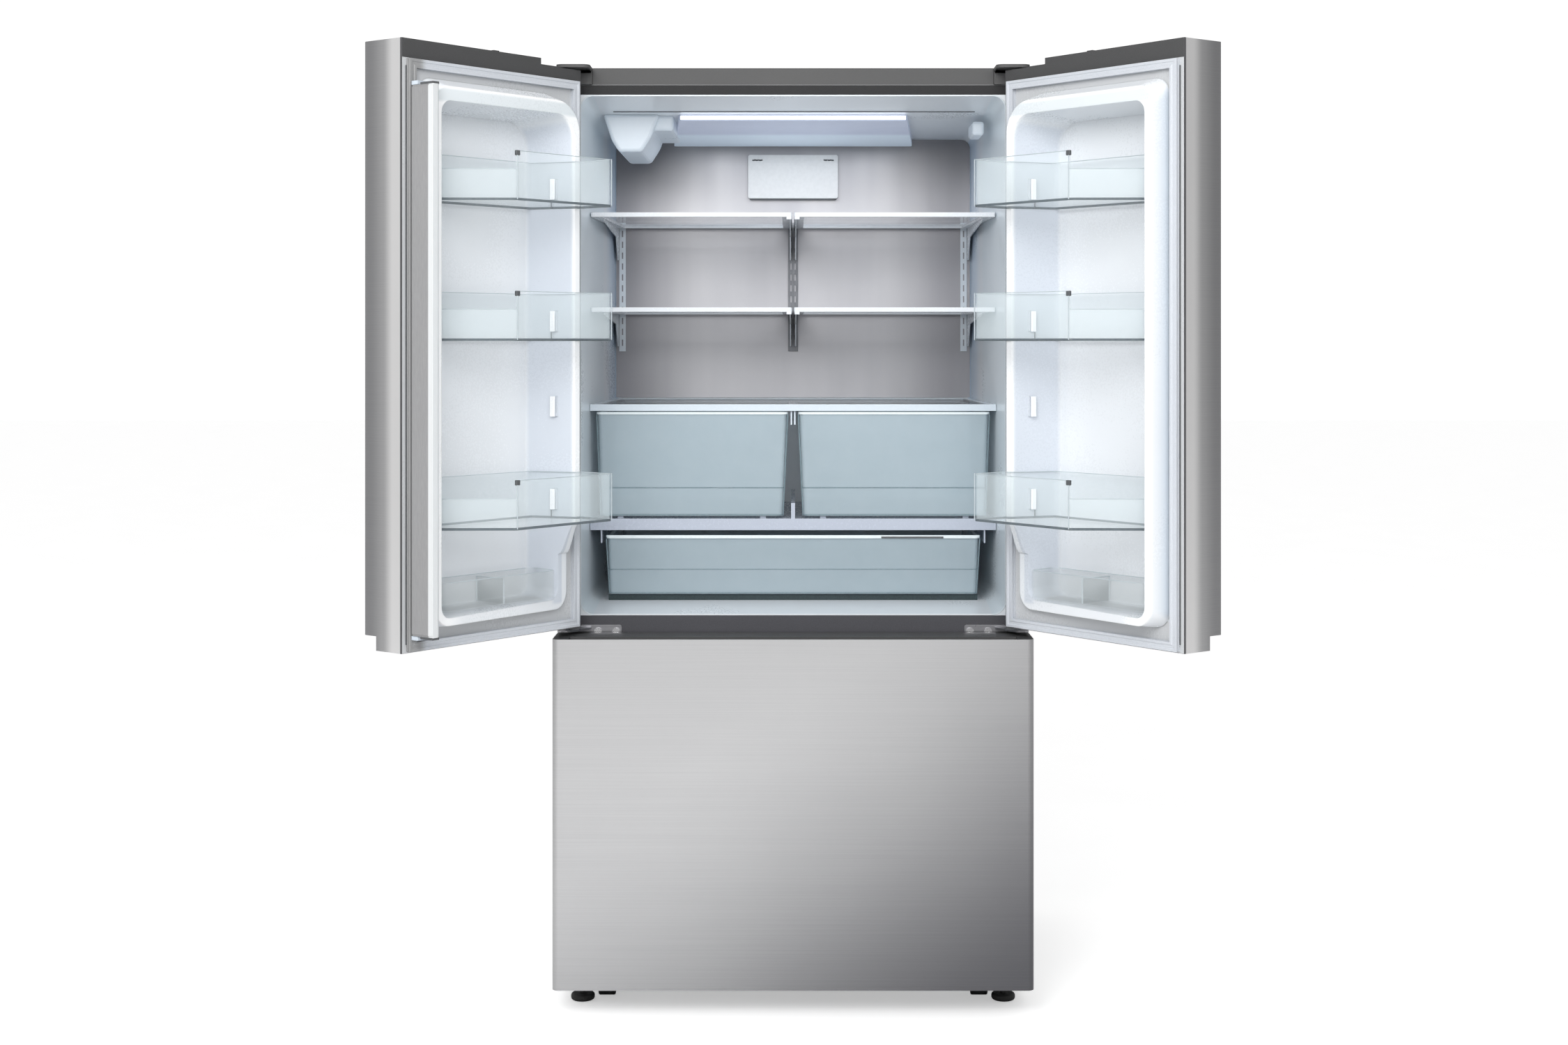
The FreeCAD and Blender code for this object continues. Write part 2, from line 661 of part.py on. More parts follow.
def lamp_cover():
    """Clear diffuser under the ceiling, wider and lower towards the back."""
    z0, z1 = ceiling_z(lamp_y0), ceiling_z(lamp_y1)
    outline = [(-230, lamp_y0), (230, lamp_y0), (262, lamp_y1), (-262, lamp_y1)]
    body = side_prism([(lamp_y0, z0 - seat), (lamp_y0, z0 - 12), (lamp_y0 + 20, z0 - 14),
                       (lamp_y1, z1 - 17), (lamp_y1, z1 - seat)], 0, -300, 300)
    body = body.common(plan_prism(outline, 6.0, z1 - 60, z0 + 10))
    inner = side_prism([(lamp_y0 + 2.5, z0 + 1), (lamp_y0 + 2.5, z0 - 10), (lamp_y0 + 20, z0 - 11.5),
                        (lamp_y1 - 2.5, z1 - 14.5), (lamp_y1 - 2.5, z1 + 1)], 0, -300, 300)
    inner = inner.common(plan_prism([(-227, lamp_y0 + 2.5), (227, lamp_y0 + 2.5), (259, lamp_y1 - 2.5),
                                     (-259, lamp_y1 - 2.5)], 4.0, z1 - 60, z0 + 10))
    return body.cut(inner)


def led_strip():
    """Circuit board with its row of diodes, behind the diffuser's front edge."""
    z = ceiling_z(lamp_y0 + 50) - seat
    board = block(-215, 215, lamp_y0 + 30, lamp_y0 + 50, z - 1.6, z)
    diodes = [block(x - 3, x + 3, lamp_y0 + 37, lamp_y0 + 43, z - 3.2, z - 1.6)
              for x in range(-200, 201, 25)]
    return joined([board] + diodes)


def filter_housing():
    """Housing of the water filter: a drum along the ceiling with a tapered front cap."""
    x, y0 = filter_inset - inner_half, front + 170.0
    radius = 46.0
    z = ceiling_z(y0) - radius - 6
    wires = []
    for y, r in ((y0, radius - 10), (y0 + 12, radius - 3), (y0 + 60, radius), (panel_y - 8, radius - 2)):
        wires.append(Part.Wire(Part.makeCircle(r, Vector(x, y, z - (radius - r) * 0.2), ALONG_Y)))
    drum = Part.makeLoft(wires, True, True)
    high = ceiling_z(y0)
    saddle = front_prism([(x - 54, high), (x - 40, z), (x + 40, z), (x + 54, high)], 0, y0 + 14, panel_y - 8)
    room = rod(x, y0 + 20, z, radius - 5, panel_y - y0 - 60, ALONG_Y)
    return joined([drum, saddle]).cut(room).common(fridge_room(-seat))


def air_filter_cover():
    z1 = ceiling_back - 36.0
    z0 = z1 - 96.0
    half = 99.0
    cover = front_prism(rectangle(-half, half, z0, z1), 5.0, panel_y - 12, panel_y - seat)
    slots = []
    for side in (-1, 1):
        for k in range(3):
            x = side * (half - 16 - 7 * k)
            slots.append(block(x - 2, x + 2, panel_y - 13, panel_y - 9, z1 - 13, z1 - 10))
    room = front_prism(rectangle(-half + 3, half - 3, z0 + 3, z1 - 3), 3.0, panel_y - 9, panel_y)
    return cover.cut(room).cut(Part.makeCompound(slots))


save("lamp_cover", lamp_cover())
save("led_strip", led_strip())
save("filter_housing", filter_housing())
save("air_filter_cover", air_filter_cover())


# ---------------------------------------------------------------- doors, built closed on the left
def px(p):
    """X of a point p from the door's hinge edge."""
    return -half_w + p


flange_top = door_top - cap_height
pocket_z = door_bottom + pocket_height


def hinge_notch(clear):
    """Space over the hinge end of the door, under the hinge's arm."""
    return block(px(-5), px(cap_step_length), door_out + 40, door_in + 5, door_top - cap_step - clear,
                 door_top + 5)


def door_skin():
    """Folded stainless sheet: front and both ends, open to the back."""
    z0, z1 = door_bottom, door_top
    outer = plan_prism(rectangle(px(0), px(door_w), door_out, door_in), [edge_radius, edge_radius, 0, 0], z0, z1)
    inner = plan_prism([(px(skin), door_out + skin), (px(door_w - skin), door_out + skin),
                        (px(door_w - skin), door_in + 1), (px(skin), door_in + 1)],
                       [edge_radius - skin, edge_radius - skin, 0, 0], z0 - 1, z1 + 1)
    pocket = block(px(-1), px(door_w + 1), door_out - 1, door_out + pocket_depth, z0 - 1, pocket_z)
    return outer.cut(inner).cut(pocket).cut(hinge_notch(0))


def skin_filling(z0, z1, y1):
    return plan_prism([(px(skin), door_out + skin), (px(door_w - skin), door_out + skin),
                       (px(door_w - skin), y1), (px(skin), y1)],
                      [edge_radius - skin, edge_radius - skin, 0, 0], z0, z1)


def door_caps():
    """Moulded caps that close the skin at the top and the bottom and carry the hinge bushes."""
    top = skin_filling(flange_top, door_top, door_in).cut(hinge_notch(0))
    room = block(px(14), px(door_w - 5), door_out + 14, door_in - 3, flange_top + 3, door_top - cap_step - 3)
    keep = rod(hinge_x, hinge_y, flange_top, 13.0, cap_height, UP)
    top = top.cut(room.cut(keep))
    top = top.cut(rod(hinge_x, hinge_y, arm_z - 18.0, pin_radius + pin_clearance, 60, UP))
    bump = block(px(208), px(222), door_in - 34, door_in - 8, door_top, door_top + 3)
    top = joined([top, bump])
    low = skin_filling(door_bottom, pocket_z + 3, door_in - liner_wall)
    low = low.cut(block(px(-1), px(door_w + 1), door_out - 1, door_out + pocket_depth,
                        door_bottom - 1, pocket_z))
    low = low.cut(rod(hinge_x, hinge_y, door_bottom - 1, pin_radius + pin_clearance, 20, UP))
    return [top, low]


crest_top = flange_top - dike_top_drop
crest_bottom = door_bottom + dike_bottom_rise
corner_r = [34.0, 34.0, 34.0, 60.0]


def dike_body(inset):
    """Raised ring as a full block; inset makes the room for the foam behind its wall."""
    y1 = door_in + dike_height - inset
    wide = 3.0
    radii = [r - inset for r in corner_r]
    return door_loft([
        (door_in - liner_wall - 1, dike_hinge_inset - wide + inset, door_w - dike_free_inset - inset,
         crest_bottom - 5 + inset, crest_top + 18 - inset, radii),
        (y1, dike_hinge_inset + inset, door_w - dike_free_inset - 8 - inset,
         crest_bottom + inset, crest_top - inset, radii)])


def door_loft(sections):
    wires = []
    for y, p0, p1, z0, z1, radii in sections:
        corner = [(px(p0), z0), (px(p1), z0), (px(p1), z1), (px(p0), z1)]
        wires.append(outline_wire(corner, radii, lambda x, z, y=y: Vector(x, y, z)))
    return Part.makeLoft(wires, True, True)


recess_p0 = dike_hinge_inset + dike_crest
recess_p1 = door_w - dike_free_inset - 8 - dike_crest_free
recess_z0 = crest_bottom + dike_crest
recess_z1 = crest_top - dike_crest_top


def recess_side(y):
    """Inner wall of the recess at the hinge side, at depth y."""
    share = (door_in + dike_height - y) / (dike_height + recess_depth)
    return recess_p0 + recess_draft * share


def recess(grow):
    """Room inside the ring, sunk into the door; its hinge side leans in."""
    y0, y1 = door_in - recess_depth - grow, door_in + dike_height + 2
    lean = recess_draft * (y1 - y0) / (dike_height + recess_depth)
    radii = [max(r - 12.0, 6.0) + grow for r in corner_r]
    over = recess_p0 + recess_draft - lean
    return door_loft([
        (y0, recess_p0 + recess_draft - grow, recess_p1 - 8 + grow,
         recess_z0 + 8 - grow, recess_z1 - 12 + grow, radii),
        (y1, over - grow, recess_p1 + grow, recess_z0 - grow, recess_z1 + grow, radii)])


def ring_dip(inset):
    """Cut that lowers the ring towards its bottom hinge corner in a smooth bend."""
    top, low, deep = crest_bottom + 160.0, crest_bottom + 100.0, 35.0
    steps = 8
    profile = []
    for k in range(steps + 1):
        share = k / steps
        profile.append((deep * share, low + (top - low) * (0.5 - 0.5 * math.cos(math.pi * share))))
    profile += [(deep + 30, top + 10), (deep + 30, crest_bottom - 60), (0, crest_bottom - 60)]
    y_ref = door_in + dike_height - inset
    points = [(y_ref + n, z) for n, z in profile]
    tool = side_prism(points, 0, px(-60), px(recess_p1))
    angle = math.degrees(math.atan(deep / (recess_p1 - recess_p0)))
    tool.rotate(Vector(px(recess_p1), y_ref, 0), UP, angle)
    return tool


bracket_p = door_w - 46.0
flap_centre = door_w - flap_from_edge - flap_t / 2
flap_mid = flap_start + flap_w / 2
gap_centre = door_w + centre_gap / 2
flap_end_n = flap_start + flap_t / 2
pivot_p = ((flap_end_n + flap_centre) + (gap_centre - flap_mid)) / 2
pivot_n = ((flap_end_n + flap_centre) - (gap_centre - flap_mid)) / 2
flap_z0 = door_bottom + 32.0
flap_z1 = crest_top - 2.0


def flap_brackets():
    """Arms on the left door's liner that carry the flap on short pins, above and below it."""
    shapes = []
    for z0, z1, pin_z, pin_axis in ((flap_z1 + 0.6, flap_z1 + 8, flap_z1 + 1, DOWN),
                                    (flap_z0 - 8, flap_z0 - 0.6, flap_z0 - 1, UP)):
        shapes.append(block(px(bracket_p), px(pivot_p + 5), door_in + gasket_gap + 1, door_in + pivot_n + 5,
                            z0, z1))
        shapes.append(block(px(bracket_p), px(bracket_p + 14), door_in - 1, door_in + pivot_n + 5, z0, z1))
        shapes.append(rod(px(pivot_p), door_in + pivot_n, pin_z, 3.0, 9.0, pin_axis))
    return shapes


def door_liner_and_foam():
    """Inner door panel with its ring and recess, and the insulation that fills the door behind it."""
    flange = block(px(skin), px(door_w - skin), door_in - liner_wall, door_in, door_bottom, flange_top)
    ring_out = dike_body(0).cut(ring_dip(0))
    ring_in = dike_body(liner_wall).cut(ring_dip(liner_wall))
    room, room_out = recess(0), recess(liner_wall)
    filling = skin_filling(pocket_z + 3, flange_top, door_in - liner_wall)
    foam = filling.fuse(ring_in).cut(room_out)
    body = flange.fuse(ring_out)
    pan = room_out.common(block(px(0), px(door_w), door_out, door_in - liner_wall / 2, 0, door_top))
    body = body.fuse(pan).cut(room).cut(foam)
    solids = sorted(body.Solids, key=lambda s: -s.Volume)
    return solids[0].removeSplitter(), max(foam.Solids, key=lambda s: s.Volume).removeSplitter()


def lugs():
    """Pads on the hinge side of the recess that the bins hang on, one row per bin and a spare."""
    pads = []
    y = door_in + 6.0
    p = recess_side(y)
    for z in bin_levels() + [(bin_levels()[1] + bin_levels()[2]) / 2 + 7]:
        pads.append(block(px(p - 1.2), px(p + 2.2), y - 5, y + 5, z + 18, z + 56))
    return pads


def bin_levels():
    """Undersides of the three hung bins, from the top down."""
    top = crest_top - 200.0
    low = crest_bottom + 167.0
    return [top, (top + low) / 2 + 43.0, low]


def door_gasket():
    z0, z1 = door_bottom + 3, top_rail_z + 20
    return ring(px(12.0), px(door_w - gasket_inset), z0, z1, gasket_w - 2, 8.0, door_in,
                door_in + gasket_gap - seat)


def door_bin(z0):
    """Clear bin hung in the ring, with a slanted and lower free end."""
    gap = 0.5
    y_back, y_crest = door_in - recess_depth + 12, door_in + dike_height + 1
    y_front = door_in + bin_reach
    free = recess_p1 - 8 - 4
    points = [(px(recess_side(y_back) + gap), y_back), (px(free), y_back),
              (px(free), door_in + 27), (px(free - bin_end_cut), y_front), (px(dike_hinge_inset + 2), y_front),
              (px(dike_hinge_inset + 2), y_crest + 2), (px(recess_side(y_crest) + gap), y_crest + 2),
              (px(recess_side(y_crest) + gap), y_crest)]
    radii = [3, 3, 8, 10, 10, 0, 0, 0]
    outer = plan_prism(points, radii, z0, z0 + bin_height)
    floor_wire = outline_wire(points, radii, lambda x, y: Vector(x, y, z0 + bin_wall))
    inside = Part.Face(floor_wire).makeOffset2D(-bin_wall).extrude(Vector(0, 0, bin_height))
    shell = outer.cut(inside)
    low_end = plan_prism([(px(free + 20), y_back - 20), (px(free + 20), y_front + 5),
                          (px(free - bin_end_cut - 2), y_front + 5), (px(free - bin_end_cut - 2), y_front - 6),
                          (px(free - 12), door_in + 22), (px(free - 12), y_back - 20)], 0,
                         z0 + bin_low_end, z0 + bin_height + 5)
    return shell.cut(low_end).cut(lug_slots(z0))


def lug_slots(z0):
    y = door_in + 6.0
    p = recess_side(y)
    return block(px(p - 4), px(p + 2.2 + seat), y - 5 - seat, y + 5 + seat, z0 + 18 - seat, z0 + 56 + seat)


def base_bin():
    """Low bin in the bottom of the ring with a divider."""
    y0, y1 = door_in - recess_depth + 10, door_in + 30
    p0, p1 = recess_side(y0) + 0.5, recess_p1 - 18
    z0, z1 = recess_z0 + 8 + seat, recess_z0 + 60
    points = [(px(p0), y0), (px(p1), y0), (px(p1 - 4), y1), (px(p0 + 6), y1)]
    outer = plan_prism(points, 12.0, z0, z1).common(recess(-0.5))
    inside = Part.Face(outline_wire(points, 12.0, lambda x, y: Vector(x, y, z0 + bin_wall)))
    inside = inside.makeOffset2D(-bin_wall).extrude(Vector(0, 0, 80)).common(recess(-0.5 - bin_wall))
    shell = outer.cut(inside)
    middle = (p0 + p1) / 2 - 6
    divider = block(px(middle), px(middle + 2.5), y0 + 1, y1 - 1, z0 + 1, z1 - 4)
    return joined([shell, divider])


def mullion_flap():
    """Hinged bar: moulded channel with a steel face; it stands folded beside the ring."""
    p0, p1 = flap_centre - flap_t / 2, flap_centre + flap_t / 2
    y0, y1 = door_in + flap_start, door_in + flap_start + flap_w
    outer = plan_prism(rectangle(px(p0), px(p1 - 1.2), y0, y1), [flap_radius, 0, 0, flap_radius],
                       flap_z0, flap_z1)
    room = plan_prism(rectangle(px(p0 + 2), px(p1 - 3.2), y0 + 2, y1 - 2), 0, flap_z0 + 14, flap_z1 - 14)
    bores = [rod(px(pivot_p), door_in + pivot_n, z, 3.0 + pin_clearance, 10.0, UP)
             for z in (flap_z0 - 1, flap_z1 - 9)]
    face = plan_prism(rectangle(px(p1 - 1.2), px(p1), y0, y1), [0, 1.1, 1.1, 0], flap_z0 + 3, flap_z1 - 3)
    return [outer.cut(room).cut(Part.makeCompound(bores)), face]


liner, foam = door_liner_and_foam()
liner = joined([liner] + lugs())
save_doors("door_skin", door_skin())
caps = Part.makeCompound(door_caps())
save("left_door_caps", swing(caps))
save("right_door_caps", mirrored(swing(caps)))
save_doors("door_liner", liner, flap_brackets())
save("left_door_foam", swing(foam.cut(Part.makeCompound(flap_brackets()))))
save("right_door_foam", mirrored(swing(foam)))
save_doors("door_gasket", door_gasket())
bins = Part.makeCompound([door_bin(z) for z in bin_levels()])
save("left_door_bins", swing(bins))
save("right_door_bins", mirrored(swing(bins)))
save_doors("base_bin", base_bin())
save("mullion_flap", swing(Part.makeCompound(mullion_flap())))

# ---------------------------------------------------------------- freezer drawer
groove_y0, groove_y1 = door_out + 5.0, door_out + 38.0
groove_depth = 24.0
handle_z = drawer_top - 30.0
freezer_half = inner_half


def drawer_skin():
    outer = plan_prism(rectangle(-half_w, half_w, door_out, door_in), [edge_radius, edge_radius, 0, 0],
                       drawer_bottom, drawer_top)
    inner = plan_prism(rectangle(-half_w + skin, half_w - skin, door_out + skin, door_in + 1),
                       [edge_radius - skin, edge_radius - skin, 0, 0], drawer_bottom + skin, drawer_top + 1)
    return outer.cut(inner)


def drawer_filling(z0, z1, y1):
    return plan_prism(rectangle(-half_w + skin, half_w - skin, door_out + skin, y1),
                      [edge_radius - skin, edge_radius - skin, 0, 0], z0, z1)


def drawer_handle_cap():
    """Moulded cap along the drawer's top with the finger groove behind the front sheet."""
    cap = drawer_filling(handle_z, drawer_top, door_in)
    groove = block(-half_w + 30, half_w - 30, groove_y0, groove_y1, drawer_top - groove_depth, drawer_top + 1)
    return cap.cut(groove)


def drawer_liner():
    panel = block(-half_w + skin, half_w - skin, door_in - liner_wall, door_in, drawer_bottom + skin, handle_z)
    rim_half = inner_half - 40.0
    rim = ring(-rim_half, rim_half, freezer_floor + 10, freezer_top - 10, 14.0, 20.0, door_in, door_in + 12)
    return joined([panel, rim])


save("drawer_skin", drawer_skin())
save("drawer_handle_cap", drawer_handle_cap())
save("drawer_liner", drawer_liner())
save("drawer_foam", drawer_filling(drawer_bottom + skin, handle_z, door_in - liner_wall))
save("drawer_gasket", ring(-half_w + 12, half_w - 12, drawer_bottom + 14, handle_z + 12, gasket_w - 2, 8.0,
                           door_in, door_in + gasket_gap - seat))

slide_x = freezer_half - seat      # outside of the fixed member
slide_y0 = front + 14.0
slide_y1 = slide_y0 + slide_len
slide_a, slide_b, slide_c = 11.0, 8.0, 7.0


def slide_fixed():
    outer = block(slide_x - slide_a, slide_x, slide_y0, slide_y1, slide_z, slide_z + slide_h)
    room = block(slide_x - slide_a - 1, slide_x - 2, slide_y0 - 1, slide_y1 + 1, slide_z + 2, slide_z + slide_h - 2)
    return outer.cut(room)


def slide_middle():
    x1 = slide_x - 2 - seat
    core = block(x1 - 7, x1, slide_y0 + 4, slide_y1 - 4, slide_z + 2 + seat, slide_z + slide_h - 2 - seat)
    room = block(x1 - 8, x1 - 2, slide_y0, slide_y1, slide_z + 7, slide_z + slide_h - 7)
    return core.cut(room)


def slide_inner():
    """Inner member, fixed to the drawer front, with the ledge that carries the basket."""
    x1 = slide_x - 4 - 2 * seat
    z0, z1 = slide_z + 7 + seat, slide_z + slide_h - 7 - seat
    bar = block(x1 - 12, x1, door_in, slide_y1 - 30, z0, z1)
    ledge = block(x1 - 30, x1 - 12, door_in, slide_y1 - 30, z1 - 3, z1)
    foot = block(x1 - 30, x1 - 12, door_in, door_in + 4, z0 - 30, z1)
    return joined([bar, ledge, foot])


basket_half = slide_x - 4 - 2 * seat - 16
basket_y0 = door_in + 14.0
basket_y1 = machine_y - step_foam - liner_wall - 9.0
ledge_z = slide_z + slide_h - 7 - seat
basket_z0 = freezer_floor + 20.0


def freezer_basket():
    half = basket_half - 16
    body = tub(((-half + 10, basket_y0 + 10), (half - 10, basket_y1 - 12)),
               ((-half, basket_y0), (half, basket_y1)), basket_z0, ledge_z + 4, 3.0, 16.0)
    wing = block(half - 3, basket_half, basket_y0 + 30, basket_y1 - 30, ledge_z + seat, ledge_z + 4)
    return joined([body, wing, mirrored(wing)])


def freezer_tray():
    """Shallow tray that rides on the basket's rims and slides back and forth."""
    z0 = ledge_z + 4 + seat
    half = basket_half - 6
    y0 = basket_y0 + 4
    return tub(((-half, y0), (half, y0 + tray_depth)), ((-half, y0 - 2), (half, y0 + tray_depth)),
               z0, z0 + tray_height, 3.0, 12.0)


save("slide_fixed", both_sides(slide_fixed()))
save("slide_middle", both_sides(slide_middle()))
save("slide_inner", both_sides(slide_inner()))
save("freezer_basket", freezer_basket())
save("freezer_tray", freezer_tray())


# ---------------------------------------------------------------- cooling machinery
def fan(x, y, z, axis, radius, blades, depth):
    """Hub with twisted blades and a stub shaft; built along Z, then turned to its axis."""
    hub = Part.makeCylinder(12.0, depth, Vector(0, 0, 0))
    shapes = [hub]
    for k in range(blades):
        blade = block(8.0, radius, -14.0, 14.0, depth / 2 - 0.9, depth / 2 + 0.9)
        blade.rotate(Vector(0, 0, depth / 2), ALONG_X, 28.0)
        blade.rotate(Vector(0, 0, 0), UP, 360.0 * k / blades)
        shapes.append(blade)
    shapes.append(Part.makeCylinder(3.0, 10.0, Vector(0, 0, -9.0)))
    body = joined(shapes)
    if axis == ALONG_Y:
        body.rotate(Vector(0, 0, 0), ALONG_X, -90)
    else:
        body.rotate(Vector(0, 0, 0), ALONG_Y, 90)
    body.translate(Vector(x, y, z))
    return body


machine_floor = case_bottom + 2
comp_x, comp_y = -250.0, machine_y + 100.0


def compressor():
    dome = Part.makeCylinder(72.0, 168.0, Vector(comp_x, comp_y, machine_floor + 12))
    dome = dome.makeFillet(34.0, [dome.Edges[0], dome.Edges[2]])
    foot = plan_prism(rectangle(comp_x - 90, comp_x + 90, comp_y - 62, comp_y + 62), 16.0,
                      machine_floor + 8, machine_floor + 13)
    mounts = [rod(comp_x + dx, comp_y + dy, machine_floor, 10.0, 9.0, UP)
              for dx in (-74, 74) for dy in (-48, 48)]
    box = block(comp_x - 96, comp_x - 66, comp_y - 26, comp_y + 26, machine_floor + 50, machine_floor + 120)
    return joined([dome, foot, box] + mounts)


cond_x0, cond_x1 = -60.0, 300.0
fan_x = cond_x0 - 60.0
fan_z = machine_floor + 112.0


def condenser():
    """Finned coil block, its shroud plate and the motor that carries the fan."""
    y0, y1 = machine_y + 30, back - 40
    shapes = []
    count = 30
    for k in range(count):
        x = cond_x0 + 10 + (cond_x1 - cond_x0 - 12) * k / (count - 1)
        shapes.append(block(x, x + 1.2, y0, y1, machine_floor + 6, machine_floor + 210))
    for row in range(4):
        for column in range(3):
            shapes.append(rod(cond_x0, y0 + 25 + 42 * column, machine_floor + 36 + 46 * row, 4.0,
                              cond_x1 - cond_x0 + 6, ALONG_X))
    shapes.append(block(cond_x0, cond_x1 + 2, y0, y1, machine_floor, machine_floor + 7))
    shapes.append(block(cond_x0, cond_x0 + 2, y0, y1, machine_floor, machine_floor + 216)
                  .cut(rod(cond_x0 - 1, comp_y, fan_z, 62.0, 6, ALONG_X)))
    for dz in (-1, 1):
        shapes.append(block(cond_x0 - 16, cond_x0 + 2, comp_y - 4, comp_y + 4,
                            *sorted((fan_z + dz * 8, fan_z + dz * 68))))
    shapes.append(rod(cond_x0 - 34, comp_y, fan_z, 16.0, 20, ALONG_X))
    body = joined(shapes)
    return body.cut(rod(fan_x + 12 + seat, comp_y, fan_z, 3.0 + pin_clearance, 24, ALONG_X))


def condenser_fan():
    """Fan whose stub shaft runs in the motor on the condenser's shroud."""
    blades = fan(0, 0, 0, ALONG_X, 54.0, 5, 14.0)
    blades.rotate(Vector(0, 0, 0), UP, 180)
    blades.translate(Vector(cond_x0 - 36, comp_y, fan_z))
    return blades


def evaporator():
    """Finned coil behind the freezer's air cover."""
    y0, y1 = cover_y + 12, freezer_back - 6
    z0, z1 = machine_height + step_foam + 8, evap_fan_z - 62
    shapes = []
    count = 26
    for k in range(count):
        x = -290 + 580 * k / (count - 1)
        shapes.append(block(x - 0.6, x + 0.6, y0, y1, z0, z1))
    rows = max(int((z1 - z0) // 36), 1)
    for row in range(rows):
        for y in (y0 + 16, y1 - 16):
            shapes.append(rod(-300, y, z0 + 18 + 36 * row, 4.0, 600, ALONG_X))
    for x in (-300, 298):
        shapes.append(block(x, x + 2, y0 - 12 + 3 + seat, freezer_back - seat, z0 - 7, z1))
    return joined(shapes)


def machine_cover():
    """Louvred plate over the back of the machine space."""
    x1 = half_w - case_sheet
    cover = block(-x1, x1, back - cover_sheet, back, case_bottom, machine_height)
    louvres = []
    for column in range(-4, 5):
        for row in range(9):
            x, z = column * 92.0, case_bottom + 46 + row * 26
            louvres.append(block(x - 32, x + 32, back - 4, back + 1, z, z + 8))
    return cover.cut(Part.makeCompound(louvres))


save("compressor", compressor())
save("condenser", condenser())
save("condenser_fan", condenser_fan())
save("evaporator", evaporator())
save("evaporator_fan", fan(0, cover_y + 3 + 12 + 0.6, evap_fan_z, ALONG_Y, 50.0, 5, 14.0))
save("machine_cover", machine_cover())
places = wheel_places()
save("front_rollers", [roller(*place) for place in places[:2]])
save("rear_rollers", [roller(*place) for place in places[2:]])
save("levelling_legs", both_sides(levelling_leg()))
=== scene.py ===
import json
import math

import bmesh
import bpy
from mathutils import Matrix, Vector


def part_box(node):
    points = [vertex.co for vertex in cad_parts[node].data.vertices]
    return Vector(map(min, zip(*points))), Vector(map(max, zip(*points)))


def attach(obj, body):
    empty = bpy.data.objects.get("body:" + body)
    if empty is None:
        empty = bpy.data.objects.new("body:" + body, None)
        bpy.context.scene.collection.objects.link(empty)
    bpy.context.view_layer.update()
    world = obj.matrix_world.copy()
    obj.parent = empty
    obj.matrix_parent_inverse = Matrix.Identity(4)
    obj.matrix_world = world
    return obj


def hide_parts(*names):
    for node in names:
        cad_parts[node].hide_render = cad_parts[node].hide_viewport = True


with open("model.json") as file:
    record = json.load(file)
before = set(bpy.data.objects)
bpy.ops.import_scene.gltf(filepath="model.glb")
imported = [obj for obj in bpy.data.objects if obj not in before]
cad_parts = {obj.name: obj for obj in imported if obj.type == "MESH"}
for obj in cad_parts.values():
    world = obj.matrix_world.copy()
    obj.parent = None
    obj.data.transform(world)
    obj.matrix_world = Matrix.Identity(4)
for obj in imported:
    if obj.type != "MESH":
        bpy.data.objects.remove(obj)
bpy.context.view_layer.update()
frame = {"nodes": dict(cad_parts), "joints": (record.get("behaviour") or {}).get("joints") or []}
nodes = frame["nodes"]

# ---------------------------------------------------------------------------------------------
# Case: one sheet of steel folded over both sides and the top, in grey enamel with a fine
# pebbled skin. The two front flanges are the same sheet turned in.


def grain_group():
    """Two colours mixed by a fine and a broad noise, with roughness and height to match."""
    group = bpy.data.node_groups.new("surface_grain", "ShaderNodeTree")
    face = group.interface
    for name, kind in (("Light", "NodeSocketColor"), ("Dark", "NodeSocketColor"),
                       ("Scale", "NodeSocketVector"), ("Cloud", "NodeSocketFloat"),
                       ("Smooth", "NodeSocketFloat"), ("Rough", "NodeSocketFloat")):
        face.new_socket(name, in_out="INPUT", socket_type=kind)
    for name, kind in (("Colour", "NodeSocketColor"), ("Roughness", "NodeSocketFloat"),
                       ("Height", "NodeSocketFloat")):
        face.new_socket(name, in_out="OUTPUT", socket_type=kind)
    new, join = group.nodes.new, group.links.new
    given, result = new("NodeGroupInput"), new("NodeGroupOutput")
    place, spread = new("ShaderNodeTexCoord"), new("ShaderNodeMapping")
    join(place.outputs["Object"], spread.inputs["Vector"])
    join(given.outputs["Scale"], spread.inputs["Scale"])
    fine, cloud = new("ShaderNodeTexNoise"), new("ShaderNodeTexNoise")
    fine.inputs["Scale"].default_value = 1.0
    fine.inputs["Detail"].default_value = 3.0
    cloud.inputs["Scale"].default_value = 4.0
    cloud.inputs["Detail"].default_value = 2.0
    join(spread.outputs["Vector"], fine.inputs["Vector"])
    join(place.outputs["Object"], cloud.inputs["Vector"])
    sharp, soft = new("ShaderNodeMapRange"), new("ShaderNodeMapRange")
    for remap, noise, low, high in ((sharp, fine, 0.36, 0.64), (soft, cloud, 0.3, 0.7)):
        join(noise.outputs["Fac"], remap.inputs["Value"])
        remap.inputs["From Min"].default_value = low
        remap.inputs["From Max"].default_value = high
    share = new("ShaderNodeMix")
    join(given.outputs["Cloud"], share.inputs["Factor"])
    join(sharp.outputs["Result"], share.inputs["A"])
    join(soft.outputs["Result"], share.inputs["B"])
    colour = new("ShaderNodeMix")
    colour.data_type = "RGBA"
    join(share.outputs["Result"], colour.inputs["Factor"])
    join(given.outputs["Light"], colour.inputs["A"])
    join(given.outputs["Dark"], colour.inputs["B"])
    rough = new("ShaderNodeMapRange")
    join(share.outputs["Result"], rough.inputs["Value"])
    join(given.outputs["Smooth"], rough.inputs["To Min"])
    join(given.outputs["Rough"], rough.inputs["To Max"])
    join(colour.outputs["Result"], result.inputs["Colour"])
    join(rough.outputs["Result"], result.inputs["Roughness"])
    join(sharp.outputs["Result"], result.inputs["Height"])
    return group


surface_grain = grain_group()


